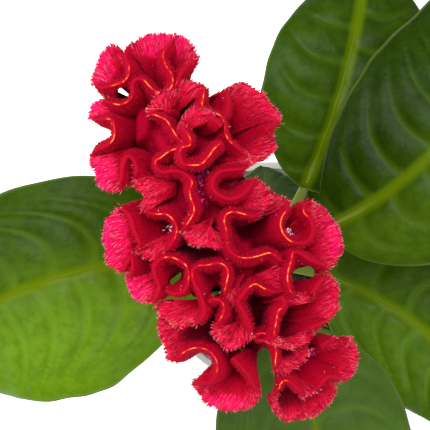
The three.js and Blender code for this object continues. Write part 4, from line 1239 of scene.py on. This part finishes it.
def make_blade(leaf, index):
    """The blade: a grid laid out along the midrib, quilted between its veins and given its thickness."""
    across, along = LARGE_GRID if leaf["length"] > LARGE_LEAF else SMALL_GRID
    clear_selection()
    bpy.ops.mesh.primitive_grid_add(x_subdivisions=across, y_subdivisions=along, size=1)
    piece = bpy.context.object
    flat = np.array([v.co for v in piece.data.vertices])
    place, share = -2 * flat[:, 0], np.clip(flat[:, 1] + 0.5, 0, 1)
    share = np.clip(share, 0.0005, 0.9995)
    way, centre, direction, side, lift = leaf_line(leaf)
    wanted = leaf["petiole"] + leaf["length"] * share
    centre, side, lift = (resample(a, way, wanted) for a in (centre, side, lift))
    width = np.maximum(0.5, leaf["width"] * blade_shape(share))
    size = np.abs(place)
    wave = 0.05 * leaf["width"] * np.sin(9.5 * share + 1.7 * index + np.where(place > 0, 2, 0))
    bow = 0.1 * width * size - 0.2 * width * place ** 2
    distance = width * place * (1 + leaf.get("left", 0) * np.sign(place))
    scallop = np.sin(19 * share + 2 * index + 2 * place) + 0.5 * np.sin(47 * share + index)
    distance = distance * (1 + 0.009 * scallop * size ** 4)
    phase = vein_phase(leaf, share, distance)
    cell = np.mod(phase + np.where(place > 0, 0.5, 0), 1)
    # The pillow's height, kept in the swell field, also paints shade in the quilt's dips and light on its
    # pillow tops.
    pillow = (1 - (2 * cell - 1) ** 2) ** 0.7 - 0.6
    inner = smooth(np.abs(distance) / 5) * smooth((1 - size) / 0.35)
    dip = -0.7 * np.exp(-((distance / 2.4) ** 2)) * smooth(8 * share)
    frill = 0.6 * np.sin(23 * share + index) * size ** 6
    flat_place = np.stack([distance, wanted, 0 * wanted], axis=1)
    lumps = 0.13 * ripple(flat_place, 9, 50 + index) * smooth(np.abs(distance) / 4)
    quilt = 1.5 * pillow * inner
    height = (bow + wave * place ** 2) * smooth(6 * share) + quilt + dip + frill + lumps
    points = centre + side * distance[:, None] + lift * height[:, None]
    piece.data.vertices.foreach_set("co", (points * MM).astype(np.float32).ravel())
    # The pale field carries painted light and shade: each half of the blade is lighter or darker as the light
    # falls on it.
    write_fields(
        piece.data, across=place, phase=phase, share=share, width=np.abs(distance),
        swell=0.6 + pillow * inner, pale=lerp(*leaf.get("pale", EVEN_PAINTED_LIGHT), smooth(place + 0.5)),
        dull=np.full(len(flat), leaf.get("dull", 0)))
    piece.data.update()
    count = len(flat)
    apply_modifier(piece, "SOLIDIFY", thickness=BLADE_THICKNESS * MM, offset=-1.0, use_rim=True)
    under = np.zeros(len(piece.data.vertices))
    under[count:] = 1
    write_fields(piece.data, under=under, stalk=np.zeros(len(under)))
    piece.data.shade_smooth()
    return piece


def make_stalk(leaf):
    """The petiole, which roots in the stem and goes on as the midrib under and along the blade."""
    way, centre, direction, side, lift = leaf_line(leaf)
    petiole, length = leaf["petiole"], leaf["length"]
    stations = np.concatenate([np.linspace(0, petiole, 16), petiole + length * np.linspace(0.02, 0.96, 60)])
    centre, direction, side, lift = (resample(a, way, stations) for a in (centre, direction, side, lift))
    share = np.clip((stations - petiole) / length, 0, 1)
    scale = min(1, leaf["width"] / 30)
    radius = scale * np.where(
        stations < petiole, lerp(2.0, 1.6, stations / petiole), lerp(1.6, 0.3, share ** 0.75))
    low = np.where(share > 0, 0.62 * radius + 0.35 + 0.4 * smooth(8 * share), radius)
    first = centre[0] - direction[0] * ROOT_DEPTH
    centre = np.vstack([first, centre])
    stations, share = np.concatenate([[-ROOT_DEPTH], stations]), np.concatenate([[0], share])
    radius, low = np.concatenate([[2.5 * scale], radius]), np.concatenate([low[:1], low])
    side, lift = np.vstack([side[:1], side]), np.vstack([lift[:1], lift])
    centre = centre - lift * low[:, None]
    angles = round_angles(STALK_SIDES)
    groove = 1 - 0.16 * np.exp(-(((angles - math.pi / 2) / 0.5) ** 2))
    rings = (centre[:, None, :]
             + side[:, None, :] * (radius[:, None] * np.cos(angles) * 1.08)[:, :, None]
             + lift[:, None, :] * (radius[:, None] * np.sin(angles) * groove)[:, :, None])
    size = rings.shape[:2]
    across = np.broadcast_to(0.02 * np.cos(angles)[None, :], size)
    shares = np.broadcast_to(share[:, None], size)
    return make_mesh(
        "stalk", rings.reshape(-1, 3), loft(rings), across=across, phase=np.full(size, 0.5),
        share=shares, width=np.zeros(size), swell=np.full(size, 0.6), pale=np.full(size, 0.5),
        dull=np.zeros(size), under=np.broadcast_to((np.sin(angles) < -0.3)[None, :], size),
        stalk=np.ones(size))


def make_leaves():
    for index, leaf in enumerate(LEAVES):
        blade, stalk = make_blade(leaf, index), make_stalk(leaf)
        clear_selection()
        stalk.select_set(True)
        blade.select_set(True)
        bpy.context.view_layer.objects.active = blade
        bpy.ops.object.join()
        blade.name = f"leaf_blade_{index + 1}"
        place_piece(blade, LEAF_FINISH, "green_leaf", f"leaf_{index + 1}")


# Pot and soil

def make_pot():
    body_top = POT_HEIGHT - RIM_HEIGHT
    profile = [
        (POT_BASE_RADIUS - 1.2, 0), (POT_BASE_RADIUS, 1.2), (POT_BASE_RADIUS + 0.35, 4),
        (lerp(POT_BASE_RADIUS, POT_BODY_TOP_RADIUS, 0.93), body_top * 0.93),
        (POT_BODY_TOP_RADIUS, body_top), (RIM_RADIUS - 0.8, body_top + 0.8),
        (RIM_RADIUS - 0.7, body_top + 2.2), (RIM_RADIUS, body_top + 2.9),
        (RIM_RADIUS, POT_HEIGHT - 3.4), (RIM_RADIUS + 0.6, POT_HEIGHT - 2.6),
        (RIM_RADIUS + 0.6, POT_HEIGHT - 0.7), (RIM_RADIUS, POT_HEIGHT), (RIM_RADIUS - POT_WALL, POT_HEIGHT),
        (RIM_RADIUS - POT_WALL - 0.6, body_top + 2.5), (POT_BODY_TOP_RADIUS - POT_WALL, body_top - 0.5),
        (POT_BASE_RADIUS - POT_WALL + 0.5, POT_FLOOR),
    ]
    pot = turned("pot_shell", profile, POT_SIDES)
    clear_selection()
    holes = []
    for angle in round_angles(DRAIN_HOLES):
        place = (DRAIN_CIRCLE_RADIUS * math.cos(angle) * MM, DRAIN_CIRCLE_RADIUS * math.sin(angle) * MM, 0)
        bpy.ops.mesh.primitive_cylinder_add(
            vertices=32, radius=DRAIN_HOLE_RADIUS * MM, depth=4 * POT_FLOOR * MM, location=place)
        holes.append(bpy.context.object)
    clear_selection()
    for hole in holes:
        hole.select_set(True)
    bpy.context.view_layer.objects.active = holes[0]
    bpy.ops.object.join()
    drill = bpy.context.object
    apply_modifier(pot, "BOOLEAN", operation="DIFFERENCE", object=drill, solver="EXACT")
    bpy.data.objects.remove(drill)
    apply_modifier(pot, "BEVEL", width=0.35 * MM, segments=2, limit_method="ANGLE",
                   angle_limit=math.radians(28))
    smooth_by_angle(pot, 40)
    place_piece(pot, POT_FINISH, "pot_plastic", "pot")


def soil_radius(height):
    low = POT_BASE_RADIUS - POT_WALL + 0.5
    high = POT_BODY_TOP_RADIUS - POT_WALL
    share = (height - POT_FLOOR) / (POT_HEIGHT - RIM_HEIGHT - 0.5 - POT_FLOOR)
    return lerp(low, high, min(1, share)) - 0.2


def soil_height(points):
    """Height of the soil over a plan place: gentle lumps, a little lower at the wall."""
    radius = np.linalg.norm(points[:, :2], axis=1)
    ground = points * (1, 1, 0)
    lumps = 1.1 * ripple(ground, 17, 21) + 0.5 * ripple(ground, 6, 22) + 0.25 * ripple(ground, 2.6, 23)
    return SOIL_TOP + lumps - 1.2 * smooth((radius - 38) / 9) + 0.8 * smooth((14 - radius) / 8)


def make_soil_bed(edge):
    rings = [(edge * share, SOIL_TOP) for share in np.linspace(0.985, 0.1, SOIL_RINGS)]
    profile = [(soil_radius(5), 4.5), (edge, 79), (edge, SOIL_TOP - 1.5), *rings]
    bed = turned("soil_bed", profile, SOIL_SIDES)
    points = np.array([v.co for v in bed.data.vertices]) / MM
    top = points[:, 2] > SOIL_TOP - 0.1
    points[top, 2] = soil_height(points[top])
    bed.data.vertices.foreach_set("co", (points * MM).astype(np.float32).ravel())
    bed.data.update()
    smooth_by_angle(bed, 60)
    place_piece(bed, SOIL_FINISH, "potting_soil", "soil")


def make_grains(name, count, sizes, finish, roughness, edge, rng):
    """Loose grains of a few shapes, strewn over the soil inside its edge."""
    blocks, faces, offset = [], [], 0
    for variant in range(GRAIN_SHAPES):
        template = grain_template(variant + 3, roughness)
        own = count // GRAIN_SHAPES
        radius = edge * np.sqrt(rng.uniform(0.022, 0.97, own))
        angle = rng.uniform(0, 2 * math.pi, own)
        place = np.stack([radius * np.cos(angle), radius * np.sin(angle), 0 * radius], axis=1)
        size = lerp(sizes[0], sizes[1], rng.uniform(size=(own, 1)) ** 2.2)
        place[:, 2] = soil_height(place) + 0.25 * size[:, 0]
        direction = unit(rng.normal(size=(own, 3)))
        first, second = frames_along(direction, rng)
        flat = rng.uniform(0.55, 1, (own, 1))
        axes = np.stack([first * size, second * size * flat, direction * size * 0.8], axis=1)
        points, triangles = copies(template, place, axes)
        blocks.append(points)
        faces.append(triangles + offset)
        offset += len(points)
    layer = make_mesh(name, np.vstack(blocks), np.vstack(faces))
    place_piece(layer, finish, "potting_soil")


def make_soil():
    edge = soil_radius(POT_HEIGHT - RIM_HEIGHT - 1)
    make_soil_bed(edge)
    rng = np.random.default_rng(SOIL_SEED)
    make_grains("soil_crumbs", 2600, (0.5, 1.9), SOIL_FINISH, 0.42, edge, rng)
    make_grains("perlite", 110, (0.6, 1.5), PERLITE_FINISH, 0.3, edge, rng)


# Finishes

def velvet_finish():
    m = Finish("crimson_velvet")
    depth, hollow, rise = m.field("depth"), m.field("hollow"), m.field("rise")
    rim, line, glow = m.field("rim"), m.field("line"), m.field("glow")
    speck = m.noise(0.5, detail=2)
    across = m.node("ShaderNodeCombineXYZ", {}, {0: m.field("way") * MM, 1: rise * 4 * MM})
    stroke = m.noise(0.45, detail=2, place=across)
    body = m.mix(depth.between(0.3, 5), srgb(170, 2, 36), srgb(178, 0, 43))
    # Painted shade: the velvet darkens from 6 to 20 mm below its ridge, down towards the valleys.
    body = m.mix(depth.between(6, 20), body, srgb(140, 0, 33))
    lobe = rim.between(0.3, 0.9) * (rise + 0.2 * glow).between(0.74, 0.98)
    # Painted sheen: the lobes turn brighter magenta-pink inside the sheen spots.
    body = m.mix(lobe, body, m.mix(glow, srgb(190, 2, 50), srgb(224, 4, 84)))
    body = m.mix(lobe * stroke.between(0.45, 0.7) * 0.4, body, srgb(250, 84, 116))
    body = m.mix(speck.between(0.35, 0.75) * 0.2, body, srgb(120, 0, 26))
    # Painted shade: the velvet turns dark maroon in the deep hollows between the folds.
    body = m.mix(hollow * 0.9, body, srgb(104, 0, 23))
    fleck = m.noise(0.7, detail=1)
    flame = m.mix((line * (0.5 + fleck)).between(0.75, 1.15), srgb(232, 44, 24), srgb(255, 148, 62))
    body = m.mix(line.between(0.35, 0.65), body, flame)
    return m.surface(
        Base_Color=body, Roughness=0.8, Normal=m.bump(speck, 0.25, 0.6), Specular_IOR_Level=0.05,
        Sheen_Weight=0.05, Sheen_Roughness=0.4, Sheen_Tint=(1.0, 0.1, 0.25))


def bristle_finish():
    m = Finish("velvet_bristles")
    tip, tone, rise, rim = m.field("tip"), m.field("tone"), m.field("rise"), m.field("rim")
    depth, hollow, glow = m.field("depth"), m.field("hollow"), m.field("glow")
    cloud = m.noise(11, detail=3)
    lobe = rim.between(0.2, 0.9)
    flank = m.mix(depth.between(0.5, 5), srgb(188, 3, 40), srgb(184, 0, 45))
    # Painted shade: the bristles darken from 6 to 20 mm below the ridge, down towards the valleys.
    flank = m.mix(depth.between(6, 20), flank, srgb(144, 0, 33))
    # The lobes' own crimson-pink, turned brighter magenta-pink where the painted sheen lies.
    bright = m.mix(glow, srgb(210, 5, 54), m.mix(cloud, srgb(244, 10, 80), srgb(248, 14, 108)))
    curled = lobe * (rise + 0.12 * glow).between(0.7, 0.95)
    root = m.mix(curled, flank, bright)
    shade = m.mix(glow, srgb(140, 0, 34), srgb(172, 0, 60))
    root = m.mix(curled * (1 - tone.between(0.25, 0.55)) * 0.75, root, shade)
    lip = m.mix(rise.between(0.7, 0.95) * 0.8, root, m.mix(tone, srgb(160, 4, 34), srgb(218, 18, 50)))
    # Pink bristle ends on the lobes, brighter where the painted sheen lies.
    blush = m.mix(glow, srgb(240, 34, 72), srgb(255, 66, 130))
    end = m.mix(lobe * rise.between(0.72, 0.94), lip, blush)
    body = m.mix(tip.between(0.2, 0.7) * (tone.between(0.3, 0.65) * 0.85 + 0.1), root, end)
    pale = m.mix(cloud.between(0.3, 0.7), srgb(255, 156, 146), srgb(255, 136, 168))
    tipped = tip.between(0.4, 0.85) * tone.between(0.4, 0.6) * (rise + 0.05 * glow).between(0.84, 0.98)
    body = m.mix(tipped * lobe * 0.9, body, pale)
    fleck = m.field("speck").over(0.996) * rise.between(0.4, 0.7) * (1 - lobe)
    body = m.mix(fleck * 0.7, body, srgb(250, 190, 196))
    # Painted shade: the bristles turn dark maroon in the deep hollows between the folds.
    body = m.mix(hollow * 0.85, body, srgb(100, 0, 23))
    return m.surface(
        Base_Color=body, Roughness=0.7, Specular_IOR_Level=0.08, Sheen_Weight=0.05, Sheen_Roughness=0.4,
        Sheen_Tint=(1.0, 0.3, 0.4))


def floret_finish():
    m = Finish("magenta_florets")
    tip, tone, pale = m.field("tip"), m.field("tone"), m.field("pale")
    body = m.mix(tone, srgb(150, 0, 76), srgb(228, 14, 138))
    body = m.mix(tip.between(0.6, 1) * 0.5, body, srgb(230, 60, 140))
    white = (tone + pale).between(1.05, 1.15)
    body = m.mix(white, body, srgb(235, 205, 210))
    return m.surface(Base_Color=body, Roughness=0.5, Specular_IOR_Level=0.4)


def leaf_finish():
    m = Finish("glossy_leaf")
    across, phase, share = m.field("across"), m.field("phase"), m.field("share")
    width, under, stalk, swell = m.field("width"), m.field("under"), m.field("stalk"), m.field("swell")
    pale, dull = m.field("pale"), m.field("dull")
    cloud = m.noise(16, detail=3)
    patch = m.noise(30, detail=2)
    cell = (phase + across.over(0) * 0.5).fraction()
    centred = abs(cell - 0.5) * 2
    fade = (1 - abs(across).between(0.55, 0.98)) * (0.4 + 0.9 * patch)
    vein = centred.between(0.58, 1.0) * fade * width.between(0.6, 1.6)
    midrib = (1 - width.between(0.9, 3.4)) * (1 - share.between(0.8, 1.0) * 0.6)
    cells = m.node("ShaderNodeTexVoronoi", {"feature": "DISTANCE_TO_EDGE"},
                   {"Vector": m.place(), "Scale": 1 / (2.6 * MM)}, output="Distance")
    net = 1 - cells.between(0.0, 0.13)
    blister = cells.between(0.0, 0.4)
    mottle = m.noise(4.5, detail=4, roughness=0.6)
    # Painted light and shade: by the field pale, each green here runs from a shaded dark to a lit light tone
    # on each half of the leaf.
    body = m.mix(pale, srgb(28, 50, 0), srgb(86, 122, 8))
    body = m.mix(cloud.between(0.3, 0.7) * 0.5, body, m.mix(pale, srgb(36, 62, 0), srgb(94, 130, 12)))
    body = m.mix(patch.between(0.45, 0.7) * 0.4, body, m.mix(pale, srgb(14, 28, 0), srgb(66, 98, 4)))
    # Painted shade in the quilt's dips beside the veins.
    body = m.mix((1 - swell.between(0.05, 0.6)) * 0.62, body, m.mix(pale, srgb(14, 28, 0), srgb(48, 80, 0)))
    # Painted light on the quilt's pillow tops.
    body = m.mix(swell.between(0.55, 1.0) * 0.2, body, m.mix(pale, srgb(48, 76, 4), srgb(116, 150, 54)))
    body = m.mix((1 - mottle.between(0.35, 0.6)) * 0.4, body, m.mix(pale, srgb(14, 30, 0), srgb(62, 94, 6)))
    body = m.mix(net * 0.05, body, srgb(70, 104, 10))
    body = m.mix(vein * 0.5, body, m.mix(pale, srgb(62, 92, 4), srgb(116, 154, 40)))
    body = m.mix(midrib, body, m.mix(pale, srgb(78, 102, 0), srgb(92, 114, 0)))
    margin = abs(across).between(0.96, 0.995)
    body = m.mix(margin * 0.7, body, m.mix(pale, srgb(84, 104, 40), srgb(112, 136, 60)))
    # Painted shade that greys and darkens a whole leaf.
    body = m.mix(dull * 0.8, body, srgb(56, 74, 44))
    body = m.mix(under * 0.6, body, srgb(92, 120, 60))
    body = m.mix(stalk * 0.7 * (1 - share.between(0.0, 0.16)), body, srgb(122, 138, 66))
    relief = 0.3 + 0.4 * cloud + 0.15 * blister + 0.2 * mottle - 0.2 * vein
    shine = 0.27 + 0.12 * cloud + 0.2 * under
    return m.surface(
        Base_Color=body, Roughness=shine, Normal=m.bump(relief, 0.4, 0.6), Specular_IOR_Level=0.07)


def stem_finish():
    m = Finish("ribbed_stem")
    height, rib = m.field("height"), m.field("rib")
    cloud = m.noise(9, detail=3)
    streak = m.noise(1.6, detail=2)
    body = m.mix(cloud.between(0.3, 0.7), srgb(112, 142, 62), srgb(146, 168, 92))
    body = m.mix(rib.between(-0.2, 1) * 0.5, body, srgb(176, 190, 120))
    body = m.mix(height.between(0.72, 1.0) * (0.45 + 0.5 * streak), body, srgb(170, 52, 70))
    body = m.mix((1 - height.between(0.06, 0.3)) * 0.5, body, srgb(120, 112, 64))
    return m.surface(Base_Color=body, Roughness=0.42 + 0.16 * streak, Normal=m.bump(streak, 0.2, 0.5))


def pot_finish():
    m = Finish("satin_pot")
    mottle = m.noise(22, detail=3)
    grain = m.noise(0.6, detail=2)
    dust = m.noise(5, detail=4, roughness=0.65)
    height = m.node("ShaderNodeSeparateXYZ", {}, {0: m.place()}, output="Z")
    splash = dust.between(0.56, 0.74) * (1 - height.between(4 * MM, 34 * MM)) * 0.3
    body = m.mix(mottle, srgb(204, 202, 196), srgb(216, 214, 208))
    body = m.mix(splash, body, srgb(150, 128, 104))
    return m.surface(Base_Color=body, Roughness=0.42 + 0.12 * mottle + 0.2 * splash,
                     Normal=m.bump(grain, 0.06, 0.5))


def soil_finish():
    m = Finish("potting_soil")
    lumps = m.noise(2.2, detail=4, roughness=0.65)
    patch = m.noise(14, detail=2)
    body = m.mix(lumps.between(0.3, 0.7), srgb(36, 24, 17), srgb(84, 60, 42))
    body = m.mix(patch.between(0.45, 0.75) * 0.5, body, srgb(58, 44, 33))
    return m.surface(Base_Color=body, Roughness=0.92, Normal=m.bump(lumps, 0.8, 0.9))


def perlite_finish():
    m = Finish("perlite_grain")
    pits = m.noise(0.5, detail=3)
    body = m.mix(pits, srgb(206, 202, 192), srgb(240, 238, 232))
    return m.surface(Base_Color=body, Roughness=0.85, Normal=m.bump(pits, 0.2, 0.6))


# Studio

def make_studio():
    clear_selection()
    bpy.ops.mesh.primitive_plane_add(size=FLOOR_SIZE)
    floor = bpy.context.object
    floor.name = "floor"
    white = Finish("white_floor")
    floor.data.materials.append(white.surface(
        Base_Color=(0.9, 0.9, 0.9), Roughness=0.9, Emission_Color=(1.0, 1.0, 1.0), Emission_Strength=0.7))

    world = bpy.data.worlds.new("soft_room")
    bpy.context.scene.world = world
    world.use_nodes = True
    background = world.node_tree.nodes["Background"]
    background.inputs["Color"].default_value = (1.0, 1.0, 1.0, 1)
    background.inputs["Strength"].default_value = ROOM_LIGHT

    target = np.array([EYE[0] * MM, EYE[1] * MM, LAMP_AIM])
    for name, place, size, power in LAMPS:
        lamp = bpy.data.lights.new(name, "AREA")
        lamp.size = size
        lamp.energy = power
        holder = bpy.data.objects.new(name, lamp)
        bpy.context.scene.collection.objects.link(holder)
        holder.location = place
        aim = Vector(target - np.array(place))
        holder.rotation_euler = aim.to_track_quat("-Z", "Y").to_euler()


def make_camera():
    lens = bpy.data.cameras.new("eye")
    lens.sensor_width = SENSOR_WIDTH
    lens.lens = SENSOR_WIDTH * EYE_STEPS / FRAME_PIXELS
    camera = bpy.data.objects.new("eye", lens)
    camera.location = tuple(EYE * MM)
    bpy.context.scene.collection.objects.link(camera)
    bpy.context.scene.camera = camera
    bpy.context.scene.view_settings.view_transform = "Standard"


make_camera()
make_studio()
BRISTLE = spindle_template(3, 0.35)
FLORET = spindle_template(5, 0.4)
VELVET_FINISH = velvet_finish()
BRISTLE_FINISH = bristle_finish()
FLORET_FINISH = floret_finish()
LEAF_FINISH = leaf_finish()
STEM_FINISH = stem_finish()
POT_FINISH = pot_finish()
SOIL_FINISH = soil_finish()
PERLITE_FINISH = perlite_finish()
make_comb()
make_stem()
make_leaves()
make_pot()
make_soil()
